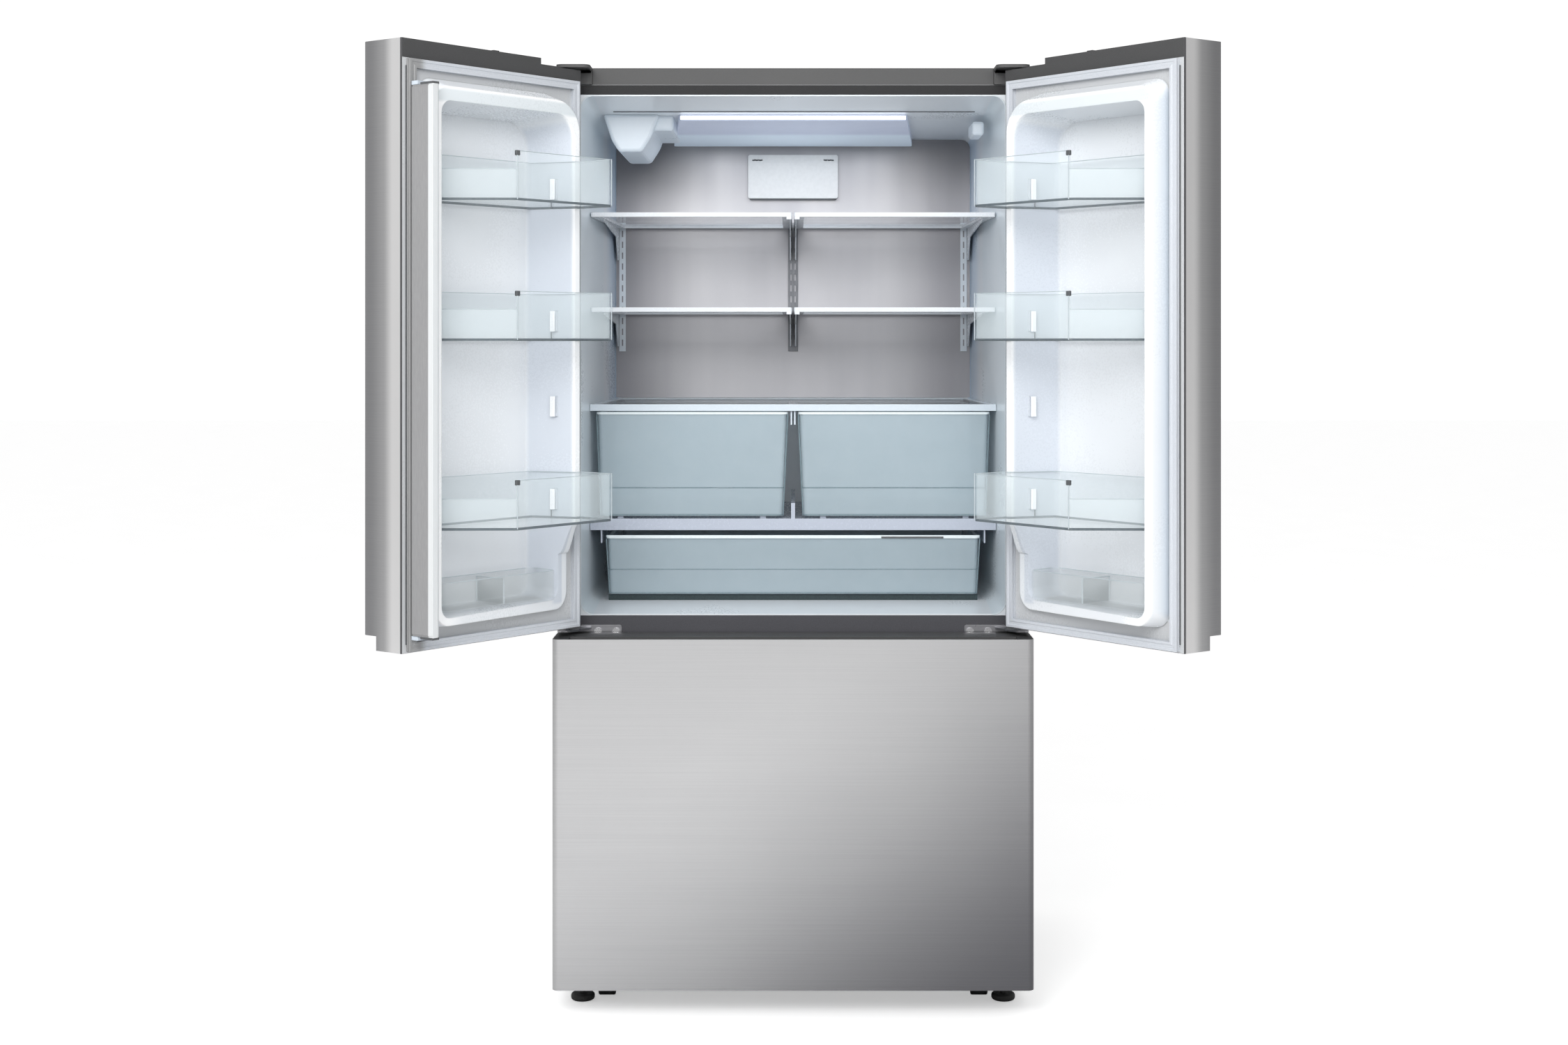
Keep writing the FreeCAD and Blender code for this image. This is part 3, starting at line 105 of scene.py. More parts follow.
def finish(name, light, dark, scale, rough, bump, cloud=0.3, edge=0.0008, **sockets):
    """Material whose colour, roughness and relief come from the grain, with softly rounded edges."""
    material = bpy.data.materials.new(name)
    material.use_nodes = True
    tree = material.node_tree
    shader = tree.nodes["Principled BSDF"]
    grain = tree.nodes.new("ShaderNodeGroup")
    grain.node_tree = surface_grain
    grain.inputs["Light"].default_value = (*light, 1.0)
    grain.inputs["Dark"].default_value = (*dark, 1.0)
    grain.inputs["Scale"].default_value = scale
    grain.inputs["Cloud"].default_value = cloud
    grain.inputs["Smooth"].default_value, grain.inputs["Rough"].default_value = rough
    relief = tree.nodes.new("ShaderNodeBump")
    relief.inputs["Distance"].default_value = bump
    relief.inputs["Strength"].default_value = 1.0
    tree.links.new(grain.outputs["Colour"], shader.inputs["Base Color"])
    tree.links.new(grain.outputs["Roughness"], shader.inputs["Roughness"])
    tree.links.new(grain.outputs["Height"], relief.inputs["Height"])
    tree.links.new(relief.outputs["Normal"], shader.inputs["Normal"])
    if edge:
        rounding = tree.nodes.new("ShaderNodeBevel")
        rounding.samples = 4
        rounding.inputs["Radius"].default_value = edge
        tree.links.new(rounding.outputs["Normal"], relief.inputs["Normal"])
    for socket, value in sockets.items():
        shader.inputs[socket.replace("_", " ")].default_value = value
    return material


def dress(material, *names):
    """Put a material on CAD nodes."""
    for name in names:
        mesh = nodes[name].data
        mesh.materials.clear()
        mesh.materials.append(material)


case_enamel = finish("case_enamel", (0.27, 0.275, 0.28), (0.24, 0.245, 0.25), (700, 700, 700),
                     (0.42, 0.52), 0.00006, cloud=0.15, edge=0.0015)
dress(case_enamel, "outer_case")

# ---------------------------------------------------------------------------------------------
# Back sheet, base and machine cover: hot-dip galvanised steel with its spangle. The back sheet
# has four thin flat pads just inside its face, and pan-head screws round its edge.


def spangle_metal(name, light, dark):
    """Zinc-coated steel: each crystal of the coat has its own tone."""
    material = finish(name, light, dark, (90, 90, 90), (0.34, 0.48), 0.00002, Metallic=1.0)
    tree = material.node_tree
    place, cells = tree.nodes.new("ShaderNodeTexCoord"), tree.nodes.new("ShaderNodeTexVoronoi")
    cells.inputs["Scale"].default_value = 85.0
    tree.links.new(place.outputs["Object"], cells.inputs["Vector"])
    tone, blend = tree.nodes.new("ShaderNodeSeparateColor"), tree.nodes.new("ShaderNodeMix")
    blend.data_type = "RGBA"
    blend.blend_type = "MULTIPLY"
    spread = tree.nodes.new("ShaderNodeMapRange")
    spread.inputs["To Min"].default_value = 0.92
    tree.links.new(cells.outputs["Color"], tone.inputs["Color"])
    tree.links.new(tone.outputs["Red"], spread.inputs["Value"])
    blend.inputs["Factor"].default_value = 1.0
    shader = tree.nodes["Principled BSDF"]
    tree.links.new(shader.inputs["Base Color"].links[0].from_socket, blend.inputs["A"])
    tree.links.new(spread.outputs["Result"], blend.inputs["B"])
    tree.links.new(blend.outputs["Result"], shader.inputs["Base Color"])
    return material


zinc = spangle_metal("galvanised_sheet", (0.58, 0.60, 0.62), (0.48, 0.50, 0.52))
dress(zinc, "rear_panel", "base_frame", "machine_cover")


def new_piece(name, mesh_in_hand, material, body):
    """Turn a bmesh into a piece that rides on a body."""
    bmesh.ops.remove_doubles(mesh_in_hand, verts=mesh_in_hand.verts, dist=1e-6)
    bmesh.ops.recalc_face_normals(mesh_in_hand, faces=mesh_in_hand.faces)
    mesh = bpy.data.meshes.new(name)
    mesh_in_hand.to_mesh(mesh)
    mesh_in_hand.free()
    mesh.materials.append(material)
    piece = bpy.data.objects.new(name, mesh)
    bpy.context.scene.collection.objects.link(piece)
    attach(piece, body)
    return piece


def bar(mesh, low, high, radius, segments=3):
    """Rounded bar between two corners."""
    size = Vector(high) - Vector(low)
    middle = (Vector(high) + Vector(low)) / 2
    made = bmesh.ops.create_cube(mesh, size=1.0, matrix=Matrix.LocRotScale(middle, None, size))
    edges = list({edge for vert in made["verts"] for edge in vert.link_edges})
    bmesh.ops.bevel(mesh, geom=edges, offset=radius, segments=segments, profile=0.5, affect="EDGES",
                    material=-1)


rear_low, rear_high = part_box("rear_panel")
pads = bmesh.new()
pad_margin, pad_gap, pad_corner, pad_sheet, pad_inside = 0.09, 0.05, 0.03, 0.0006, 0.0001
pad_reach = (rear_high.x - rear_low.x) / 2 - pad_margin
pad_heights = ((rear_low.z + pad_margin, rear_low.z + 0.66), (rear_low.z + 0.74, rear_high.z - pad_margin))
facing_back = Matrix.Rotation(math.radians(-90), 3, "X")
for side in (-1, 1):
    x0, x1 = sorted((side * pad_reach, side * pad_gap))
    for z0, z1 in pad_heights:
        middle = Vector(((x0 + x1) / 2, rear_high.y - pad_inside, (z0 + z1) / 2))
        place = Matrix.LocRotScale(middle, facing_back, Vector((x1 - x0, z1 - z0, 1)))
        pad = bmesh.ops.create_grid(pads, x_segments=1, y_segments=1, size=0.5, matrix=place)
        bmesh.ops.bevel(pads, geom=pad["verts"], offset=pad_corner, segments=6, profile=0.5,
                        affect="VERTICES", material=-1)
bmesh.ops.solidify(pads, geom=list(pads.faces), thickness=pad_sheet)
new_piece("rear_beads", pads, zinc, "cabinet")

bright_zinc = finish("bright_screws", (0.72, 0.72, 0.73), (0.60, 0.60, 0.62), (900, 900, 900),
                     (0.16, 0.26), 0.00001, edge=0.0003, Metallic=1.0)


def screw(mesh, centre, axis, radius, height):
    """Pan head with a cross recess, its axis along one of the frame's axes."""
    turn = Vector((0, 0, 1)).rotation_difference(Vector(axis)).to_matrix().to_4x4()
    place = Matrix.Translation(Vector(centre)) @ turn
    made = bmesh.ops.create_cone(mesh, cap_ends=True, segments=24, radius1=radius, radius2=radius * 0.9,
                                 depth=height, matrix=place @ Matrix.Translation((0, 0, height / 2)))
    top = max((face for vert in made["verts"] for face in vert.link_faces),
              key=lambda face: (place.inverted() @ face.calc_center_median()).z)
    bmesh.ops.bevel(mesh, geom=list(top.edges), offset=height * 0.35, segments=3, profile=0.5, affect="EDGES",
                    material=-1)
    top = max((face for face in mesh.faces if len(face.verts) == 24),
              key=lambda face: -((place @ Vector((0, 0, height))) - face.calc_center_median()).length)
    bmesh.ops.inset_region(mesh, faces=[top], thickness=radius * 0.25, depth=-height * 0.25)


back_screws = bmesh.new()
cover_low, cover_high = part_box("machine_cover")
edge_in = 0.014
head = (0.0045, 0.0025)
for x in (rear_low.x + edge_in, 0.0, rear_high.x - edge_in):
    for z in (rear_low.z + edge_in + 0.01, rear_high.z - edge_in):
        screw(back_screws, (x, rear_high.y, z), (0, 1, 0), *head)
for side in (-1, 1):
    for z in (rear_low.z + 0.45, rear_low.z + 0.95):
        screw(back_screws, (side * (rear_high.x - edge_in), rear_high.y, z), (0, 1, 0), *head)
    for z in (cover_low.z + 0.02, cover_high.z - 0.02):
        screw(back_screws, (side * (cover_high.x - edge_in), cover_high.y, z), (0, 1, 0), *head)
new_piece("back_screws", back_screws, bright_zinc, "cabinet")

# ---------------------------------------------------------------------------------------------
# Insulation: polyurethane foamed in place between the sheets, pale yellow with closed cells.
# It is out of sight behind the liners.


def foam_material():
    """Pale foam whose cut face shows its closed cells."""
    material = finish("closed_cell_foam", (0.82, 0.74, 0.50), (0.72, 0.63, 0.40), (60, 60, 60),
                      (0.8, 0.95), 0.0005, edge=0.0)
    tree = material.node_tree
    place, cells = tree.nodes.new("ShaderNodeTexCoord"), tree.nodes.new("ShaderNodeTexVoronoi")
    cells.inputs["Scale"].default_value = 420.0
    relief = next(node for node in tree.nodes if node.type == "BUMP")
    tree.links.new(place.outputs["Object"], cells.inputs["Vector"])
    tree.links.new(cells.outputs["Distance"], relief.inputs["Height"])
    return material


dress(foam_material(), "cabinet_foam", "left_door_foam", "right_door_foam", "drawer_foam")

# ---------------------------------------------------------------------------------------------
# Liners of both compartments: white sheet drawn into a mould, glossy, with a faint ripple.
# The fridge's ceiling has a seam where its front lip meets the sunk part.


def along(material, direction, start, end, floor=0.0, ceiling=1.0):
    """Factor that goes from floor to ceiling between two places along a direction on the object."""
    tree = material.node_tree
    place, project = tree.nodes.new("ShaderNodeTexCoord"), tree.nodes.new("ShaderNodeVectorMath")
    project.operation = "DOT_PRODUCT"
    project.inputs[1].default_value = direction
    ramp = tree.nodes.new("ShaderNodeMapRange")
    ramp.interpolation_type = "SMOOTHSTEP"
    for socket, value in (("From Min", start), ("From Max", end), ("To Min", floor), ("To Max", ceiling)):
        ramp.inputs[socket].default_value = value
    tree.links.new(place.outputs["Object"], project.inputs[0])
    tree.links.new(project.outputs["Value"], ramp.inputs["Value"])
    return ramp.outputs["Result"]


def both(material, first, second):
    """Product of two factors."""
    product = material.node_tree.nodes.new("ShaderNodeMath")
    product.operation = "MULTIPLY"
    material.node_tree.links.new(first, product.inputs[0])
    material.node_tree.links.new(second, product.inputs[1])
    return product.outputs["Value"]


def tint(material, factor, colour, kind="MULTIPLY"):
    """Lay a colour over the base colour by a factor."""
    tree = material.node_tree
    shader, layer = tree.nodes["Principled BSDF"], tree.nodes.new("ShaderNodeMix")
    layer.data_type = "RGBA"
    layer.blend_type = kind
    tree.links.new(factor, layer.inputs["Factor"])
    tree.links.new(shader.inputs["Base Color"].links[0].from_socket, layer.inputs["A"])
    layer.inputs["B"].default_value = (*colour, 1.0)
    tree.links.new(layer.outputs["Result"], shader.inputs["Base Color"])


def drawn_white(name):
    """White sheet drawn into a mould, glossy and a little wavy."""
    return finish(name, (0.77, 0.805, 0.84), (0.745, 0.785, 0.825), (260, 260, 260), (0.26, 0.34),
                  0.00001, cloud=0.7, edge=0.003, Coat_Weight=0.1)


liner_white = drawn_white("liner_white")
dress(liner_white, "freezer_liner")
fridge_white = drawn_white("fridge_white")
# Painted shade: the liner's side walls are painted darker and bluer, most towards the back of the
# compartment.
side_face = 0.384
for way in (-1, 1):
    side_wall = along(fridge_white, (way, 0, 0), side_face, side_face + 0.004)
    tint(fridge_white, both(fridge_white, side_wall, along(fridge_white, (0, 1, 0), 0.06, 0.20)),
         (0.76, 0.86, 0.97))
    tint(fridge_white, both(fridge_white, side_wall, along(fridge_white, (0, 1, 0), 0.06, 0.0)),
         (0.95, 0.99, 1.0))
dress(fridge_white, "fridge_liner")

liner_low, liner_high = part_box("fridge_liner")


def corner_gusset(mesh, corner, way_x, way_z, radius):
    """Flat piece that fills the space between a square corner and a round one."""
    centre = corner + Vector((way_x * radius, 0, way_z * radius))
    first = mesh.verts.new(corner + Vector((0, 0, way_z * radius)))
    quarter = -way_x * way_z * math.pi / 2
    bmesh.ops.spin(mesh, geom=[first], cent=centre, axis=(0, 1, 0), angle=quarter, steps=8)
    tip = mesh.verts.new(corner)
    arc = [vert for vert in mesh.verts if vert is not tip and not vert.link_faces]
    arc.sort(key=lambda vert: vert.co.z * way_z)
    face = mesh.faces.new([tip] + arc)
    bmesh.ops.solidify(mesh, geom=[face], thickness=0.0005)


front_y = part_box("outer_case")[0].y
corner_radius = 0.0265
gussets = bmesh.new()
for z, way_z in ((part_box("top_rail")[0].z, -1), (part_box("mid_rail")[1].z, 1),
                 (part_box("mid_rail")[0].z, -1), (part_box("freezer_liner")[0].z, 1)):
    for way_x in (-1, 1):
        corner = Vector((-way_x * liner_high.x, front_y - 0.0003, z))
        corner_gusset(gussets, corner, way_x, way_z, corner_radius)
new_piece("liner_corners", gussets, liner_white, "cabinet")

lip_low = 1.7374
seam_y = -0.190
seam = bmesh.new()
dark_line = finish("dark_line", (0.10, 0.105, 0.11), (0.07, 0.075, 0.08), (400, 400, 400),
                   (0.5, 0.65), 0.00002, edge=0.0004)
bar(seam, (-0.360, seam_y - 0.001, lip_low - 0.0016), (0.364, seam_y + 0.0012, lip_low + 0.0004), 0.0004)
new_piece("ceiling_seam", seam, dark_line, "cabinet")

# ---------------------------------------------------------------------------------------------
# Rails across the front between and above the doors' openings: steel channels in dark enamel.

rail_enamel = finish("rail_enamel", (0.062, 0.062, 0.072), (0.05, 0.05, 0.058), (650, 650, 650),
                     (0.38, 0.48), 0.00005, cloud=0.2, edge=0.0012)
dress(rail_enamel, "mid_rail")
top_enamel = finish("top_rail_enamel", (0.030, 0.030, 0.031), (0.025, 0.025, 0.026), (650, 650, 650),
                    (0.5, 0.6), 0.00005, cloud=0.2, edge=0.0012, Specular_IOR_Level=0.15)
dress(top_enamel, "top_rail")

# ---------------------------------------------------------------------------------------------
# Cover strip along the top of the case and the two hinge covers: grey moulded plastic with a
# spark-eroded texture.

cover_grey = finish("cover_grey", (0.092, 0.092, 0.092), (0.080, 0.080, 0.081), (1100, 1100, 1100),
                    (0.5, 0.62), 0.00007, cloud=0.25, edge=0.0015, Specular_IOR_Level=0.25)
dress(cover_grey, "top_cover_strip", "hinge_covers")

# ---------------------------------------------------------------------------------------------
# Hinges: pressed and plated steel. The middle ones are screwed to the rail, the upper ones to
# the top of the case under their covers.

hinge_plate = finish("plated_steel", (0.40, 0.40, 0.42), (0.34, 0.34, 0.36), (60, 60, 60),
                     (0.24, 0.36), 0.00002, edge=0.0008, Metallic=1.0)
dress(hinge_plate, "top_hinges", "mid_hinges")
dress(bright_zinc, "hinge_screws")

# ---------------------------------------------------------------------------------------------
# Shelf tracks: slotted grey steel uprights with the hooked double arms of the shelves.

track_steel = finish("track_steel", (0.22, 0.225, 0.24), (0.17, 0.175, 0.19), (300, 300, 40),
                     (0.3, 0.42), 0.00002, edge=0.0006, Metallic=0.3)
side_track, side_arm = 0.345, 0.352
for way in (-1, 1):
    tint(track_steel, along(track_steel, (way, 0, 0), 0.2, 0.25), (0.27, 0.27, 0.28), "MIX")
    tint(track_steel, along(track_steel, (way, 0, 0), side_track, side_arm), (0.66, 0.71, 0.76), "MIX")
dress(track_steel, "shelf_tracks")

# ---------------------------------------------------------------------------------------------
# Back wall of the fridge: a sheet of finely brushed metal, its grain upright, that draws the
# light of the lamp down the compartment.

brushed_wall = finish("brushed_wall", (0.47, 0.468, 0.485), (0.39, 0.388, 0.41), (7, 7, 0.4),
                      (0.36, 0.46), 0.0, cloud=0.25, edge=0.0, Metallic=0.8)
# Painted shade: the sheet is darkened towards its side corners and towards its top.
for way in (-1, 1):
    tint(brushed_wall, along(brushed_wall, (way, 0, 0), 0.16, 0.385), (0.66, 0.655, 0.665))
tint(brushed_wall, along(brushed_wall, (0, 0, 1), 1.46, 1.66), (0.74, 0.735, 0.73))
dress(brushed_wall, "back_wall_panel")

# ---------------------------------------------------------------------------------------------
# Shelves: panes of tempered glass in white moulded frames. The same white plastic makes the
# frame of the crisper cover and the pantry frame.


def moulded_white(name, light, dark):
    """White moulded plastic, glossy."""
    return finish(name, light, dark, (200, 200, 200), (0.2, 0.3), 0.00003, cloud=0.4, edge=0.0014,
                  Coat_Weight=0.2)


dress(moulded_white("shelf_white", (0.74, 0.765, 0.80), (0.71, 0.74, 0.775)), "shelf_frames")
# Painted shade: the crisper cover and the pantry frame get darker, bluer copies of the shelves' white, the
# pantry frame the darkest.
dress(moulded_white("cover_white_shaded", (0.64, 0.71, 0.77), (0.61, 0.68, 0.745)), "crisper_cover")
dress(moulded_white("pantry_frame_white_shaded", (0.47, 0.51, 0.59), (0.44, 0.48, 0.56)), "pantry_frame")


def clear_material(name, light, dark, rough, cover, **sockets):
    """See-through plastic or glass: the colour and roughness vary a little over it."""
    return finish(name, light, dark, (25, 25, 25), rough, 0.00001, cloud=0.6, edge=0.0, Alpha=cover,
                  **sockets)


pane_glass = clear_material("pane_glass", (0.62, 0.64, 0.66), (0.59, 0.61, 0.63), (0.02, 0.05), 0.34, IOR=1.5)
dress(pane_glass, "shelf_glass")

# ---------------------------------------------------------------------------------------------
# Crispers, pantry drawer and bins: clear injection-moulded styrene, faintly blue-green where it
# is thick. Lines moulded in their walls, their feet and front corners carry dark bands of painted
# shade, and their rims pale bands of painted highlight, for the light the clear walls bend.

clear_tub = clear_material("clear_tub", (0.62, 0.735, 0.80), (0.58, 0.70, 0.765), (0.05, 0.1), 0.38, IOR=1.55)
clear_bin = clear_material("clear_bin", (0.80, 0.88, 0.91), (0.76, 0.85, 0.885), (0.04, 0.08), 0.17, IOR=1.55)
dress(clear_tub, "left_crisper", "right_crisper", "pantry_drawer")
dress(clear_bin, "left_door_bins", "right_door_bins")
# Painted light: the base bins get a lighter, clearer copy of the bins' plastic, to lift them out of their
# shade.
clear_base_lightened = clear_material("clear_base_lightened", (0.84, 0.90, 0.92), (0.80, 0.87, 0.895), (0.04, 0.08), 0.11,
                            IOR=1.55)
dress(clear_base_lightened, "left_base_bin", "right_base_bin")
# Dark lines of painted shade and pale rim bands of painted highlight for the clear mouldings.
tub_edge = finish("tub_edge", (0.20, 0.27, 0.30), (0.16, 0.22, 0.25), (200, 200, 200), (0.12, 0.22),
                  0.00001, edge=0.0)
tub_rim = finish("tub_rim", (0.78, 0.84, 0.86), (0.72, 0.79, 0.81), (200, 200, 200), (0.12, 0.2),
                 0.00001, edge=0.0)
bin_edge = finish("bin_edge", (0.13, 0.155, 0.17), (0.10, 0.12, 0.135), (200, 200, 200), (0.12, 0.22),
                  0.00001, edge=0.0)


def wall_band(name, node, bands, material, body, proud=0.0003):
    """Thin bands that follow a CAD node's upright walls between pairs of heights."""
    made = bmesh.new()
    for z0, z1 in bands:
        part = bmesh.new()
        part.from_mesh(nodes[node].data)
        bmesh.ops.remove_doubles(part, verts=part.verts, dist=1e-5)
        for height, up in ((z0, False), (z1, True)):
            bmesh.ops.bisect_plane(part, geom=list(part.verts) + list(part.edges) + list(part.faces),
                                   plane_co=(0, 0, height), plane_no=(0, 0, 1), dist=1e-6,
                                   clear_inner=not up, clear_outer=up)
        level = [face for face in part.faces if abs(face.normal.z) > 0.6 or face.calc_area() < 1e-9]
        bmesh.ops.delete(part, geom=level, context="FACES")
        part.normal_update()
        for vert in part.verts:
            vert.co += vert.normal * proud
        bmesh.ops.solidify(part, geom=list(part.faces), thickness=0.0002)
        strip = bpy.data.meshes.new("strip")
        part.to_mesh(strip)
        part.free()
        made.from_mesh(strip)
        bpy.data.meshes.remove(strip)
    return new_piece(name, made, material, body)


def edge_lines(name, node, kept, radius, material, body):
    """Fine round lines along the sharp edges of a clear moulding, where its wall bends the light."""
    shape = bmesh.new()
    shape.from_mesh(nodes[node].data)
    bmesh.ops.remove_doubles(shape, verts=shape.verts, dist=1e-5)
    bmesh.ops.dissolve_limit(shape, angle_limit=0.02, verts=shape.verts, edges=shape.edges)
    lines = bmesh.new()
    for edge in shape.edges:
        start, end = (vert.co for vert in edge.verts)
        if edge.is_manifold and edge.calc_face_angle() > 0.35 and kept(start, end):
            turn = Vector((0, 0, 1)).rotation_difference(end - start).to_matrix().to_4x4()
            place = Matrix.Translation((start + end) / 2) @ turn
            bmesh.ops.create_cone(lines, cap_ends=True, segments=6, radius1=radius, radius2=radius,
                                  depth=edge.calc_length() + radius, matrix=place)
    shape.free()
    return new_piece(name, lines, material, body)


def front_corners(name, node, radius, material, body):
    """Lines up the two front corners of a drawer."""
    low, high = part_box(node)
    front_verts = [vert.co for vert in nodes[node].data.vertices if vert.co.y < low.y + 0.02]
    lines = bmesh.new()
    for way in (-1, 1):
        foot, top = (max((co for co in front_verts if z0 < co.z < z1), key=lambda co: way * co.x)
                     for z0, z1 in ((low.z - 0.001, low.z + 0.012), (high.z - 0.012, high.z + 0.001)))
        start, end = (Vector((co.x, co.y - 0.0004, co.z)) for co in (foot, top))
        turn = Vector((0, 0, 1)).rotation_difference(end - start).to_matrix().to_4x4()
        bmesh.ops.create_cone(lines, cap_ends=True, segments=8, radius1=radius, radius2=radius,
                              depth=(end - start).length, matrix=Matrix.Translation((start + end) / 2) @ turn)
    return new_piece(name, lines, material, body)


# Painted shade along the moulded lines, feet and front corners, painted highlight along the rims.
for side in ("left", "right"):
    tub = side + "_crisper"
    low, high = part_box(tub)
    front_corners(tub + "_corners", tub, 0.0014, tub_edge, tub)
    line_heights = ((low.z + 0.0556, low.z + 0.0575), (low.z + 0.001, low.z + 0.0035))
    wall_band(tub + "_lines", tub, line_heights, tub_edge, tub)
    wall_band(tub + "_rim", tub, ((high.z - 0.005, high.z - 0.0005),), tub_rim, tub)
low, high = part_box("pantry_drawer")
line_heights = ((low.z + 0.0488, low.z + 0.0502), (low.z + 0.001, low.z + 0.0035))
wall_band("pantry_lines", "pantry_drawer", line_heights, tub_edge, "pantry_drawer")
wall_band("pantry_rim", "pantry_drawer", ((high.z - 0.0065, high.z - 0.0005),), tub_rim, "pantry_drawer")
front_corners("pantry_corners", "pantry_drawer", 0.0014, tub_edge, "pantry_drawer")
slot_mark = bmesh.new()
bar(slot_mark, (0.176, low.y - 0.0018, high.z - 0.0062), (0.300, low.y - 0.0002, high.z - 0.0028), 0.0006)
new_piece("pantry_slot", slot_mark, dark_line, "pantry_drawer")
# Painted shadow: a dark green strip on the cabinet stands for the shade in the gap under the pantry drawer.
gap_shadow_green = finish("gap_shadow_green", (0.020, 0.040, 0.045), (0.014, 0.028, 0.032), (400, 400, 400), (0.5, 0.65),
                   0.00002, edge=0.0004)
painted_shadow_strip = bmesh.new()
bar(painted_shadow_strip, (low.x + 0.004, low.y + 0.012, liner_low.z + 0.0105),
    (high.x - 0.004, low.y + 0.016, low.z - 0.0015), 0.0008)
new_piece("pantry_painted_shadow_strip", painted_shadow_strip, gap_shadow_green, "cabinet")

# ---------------------------------------------------------------------------------------------
# Lamp in the ceiling: a frosted cover over a strip of diodes. The light leaves through a bright
# window along the cover's front edge, and the rest of the cover glows bluish.

glow_cover = finish("glow_cover", (0.50, 0.54, 0.66), (0.47, 0.51, 0.63), (30, 30, 30), (0.45, 0.55),
                    0.0, cloud=0.7, edge=0.0, Emission_Color=(0.80, 0.86, 1.0, 1.0),
                    Emission_Strength=0.12)
lamp_low, lamp_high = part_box("lamp_cover")
lower_band = along(glow_cover, (0, 0, 1), lamp_low.z + 0.0085, lamp_low.z + 0.0065)
tint(glow_cover, lower_band, (0.66, 0.76, 0.84), "MIX")
dress(glow_cover, "lamp_cover")
diodes = finish("diode_board", (0.9, 0.9, 0.85), (0.8, 0.8, 0.75), (300, 300, 300), (0.4, 0.6), 0.00002,
                edge=0.0, Emission_Color=(1.0, 0.97, 0.92, 1.0), Emission_Strength=1.5)
dress(diodes, "led_strip")
window_light = finish("lamp_window", (0.97, 0.98, 1.0), (0.94, 0.96, 1.0), (60, 60, 60), (0.3, 0.4),
                      0.00001, edge=0.0, Emission_Color=(0.93, 0.97, 1.0, 1.0), Emission_Strength=2.2)
window = bmesh.new()
bar(window, (lamp_low.x + 0.034, lamp_low.y - 0.0025, lamp_high.z - 0.0105),
    (lamp_high.x - 0.034, lamp_low.y + 0.0005, lamp_high.z - 0.0035), 0.001)
new_piece("lamp_window", window, window_light, "cabinet")

# ---------------------------------------------------------------------------------------------
# Water filter housing and the cover of the air filter: smooth plastic. The air filter draws in
# through a row of short slots near each top corner, and a dark bar below its cover is its painted shadow.

# Painted glow: the housing's plastic gives off a faint bluish light, though it holds no lamp.
glowing_housing_plastic = finish("glowing_housing_plastic", (0.64, 0.70, 0.755), (0.61, 0.67, 0.73), (120, 120, 120),
                         (0.26, 0.34), 0.000003, cloud=0.8, edge=0.0, Emission_Color=(0.8, 0.9, 1.0, 1.0),
                         Emission_Strength=0.08)
dress(glowing_housing_plastic, "filter_housing")
ceiling_z = 1.7365
shell = bmesh.new()
cup = ((-0.384, ceiling_z), (-0.270, ceiling_z), (-0.287, 1.690), (-0.306, 1.6605), (-0.352, 1.6605),
       (-0.367, 1.684))
cup_front, cup_back = -0.150, 0.150
face = shell.faces.new([shell.verts.new((x, cup_front, z)) for x, z in cup])
deep = bmesh.ops.extrude_face_region(shell, geom=[face])
back_verts = [item for item in deep["geom"] if isinstance(item, bmesh.types.BMVert)]
bmesh.ops.translate(shell, verts=back_verts, vec=(0, cup_back - cup_front, 0))
bmesh.ops.recalc_face_normals(shell, faces=shell.faces)
bmesh.ops.bevel(shell, geom=list(shell.edges), offset=0.007, segments=3, profile=0.5, affect="EDGES",
                material=-1)
bar(shell, (-0.290, cup_front + 0.02, 1.705), (-0.243, cup_back, ceiling_z), 0.006)
bar(shell, (0.362, cup_front, 1.694), (0.386, cup_front + 0.10, 1.722), 0.006)
shell_piece = new_piece("filter_shell", shell, glowing_housing_plastic, "cabinet")
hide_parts("filter_housing")
filter_grey = finish("filter_grey", (0.55, 0.555, 0.56), (0.51, 0.515, 0.52), (150, 150, 150), (0.4, 0.5),
                     0.00002, cloud=0.5, edge=0.0012, Metallic=0.25)
dress(filter_grey, "air_filter_cover")
filter_low, filter_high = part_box("air_filter_cover")
vents_and_shadow = bmesh.new()
for side in (-1, 1):
    for k in range(3):
        x = side * (filter_high.x - 0.012 - 0.0075 * k)
        bar(vents_and_shadow, (x - 0.0028, filter_low.y - 0.0006, filter_high.z - 0.0135),
            (x + 0.0028, filter_low.y + 0.0006, filter_high.z - 0.0105), 0.0005)
# Painted shadow: a dark bar under the cover's lower edge.
bar(vents_and_shadow, (filter_low.x + 0.004, filter_low.y + 0.002, filter_low.z - 0.0028),
    (filter_high.x - 0.004, filter_low.y + 0.006, filter_low.z - 0.0004), 0.0005)
new_piece("air_filter_slots_and_shadow", vents_and_shadow, dark_line, "cabinet")

# ---------------------------------------------------------------------------------------------
# Door and drawer skins: stainless sheet, brushed across and clear coated. Each is folded with
# the same round bend down its edges.


def stainless_sheet(name):
    """Stainless steel brushed across, under a thin clear coat."""
    return finish(name, (0.57, 0.57, 0.575), (0.53, 0.53, 0.538), (3, 3, 900), (0.30, 0.37), 0.000002,
                  cloud=0.35, edge=0.0, Metallic=1.0, Coat_Weight=0.1, Coat_Roughness=0.25)


drawer_steel = stainless_sheet("drawer_stainless")
# Painted shade: the drawer's sheet is darkened towards its lower right.
tint(drawer_steel, along(drawer_steel, (0.62, 0.0, -0.78), -0.50, 0.26), (0.22, 0.22, 0.235))
dress(drawer_steel, "drawer_skin")

# ---------------------------------------------------------------------------------------------
# Door caps and the drawer's handle cap: dark moulded plastic pushed into the ends of the skins.

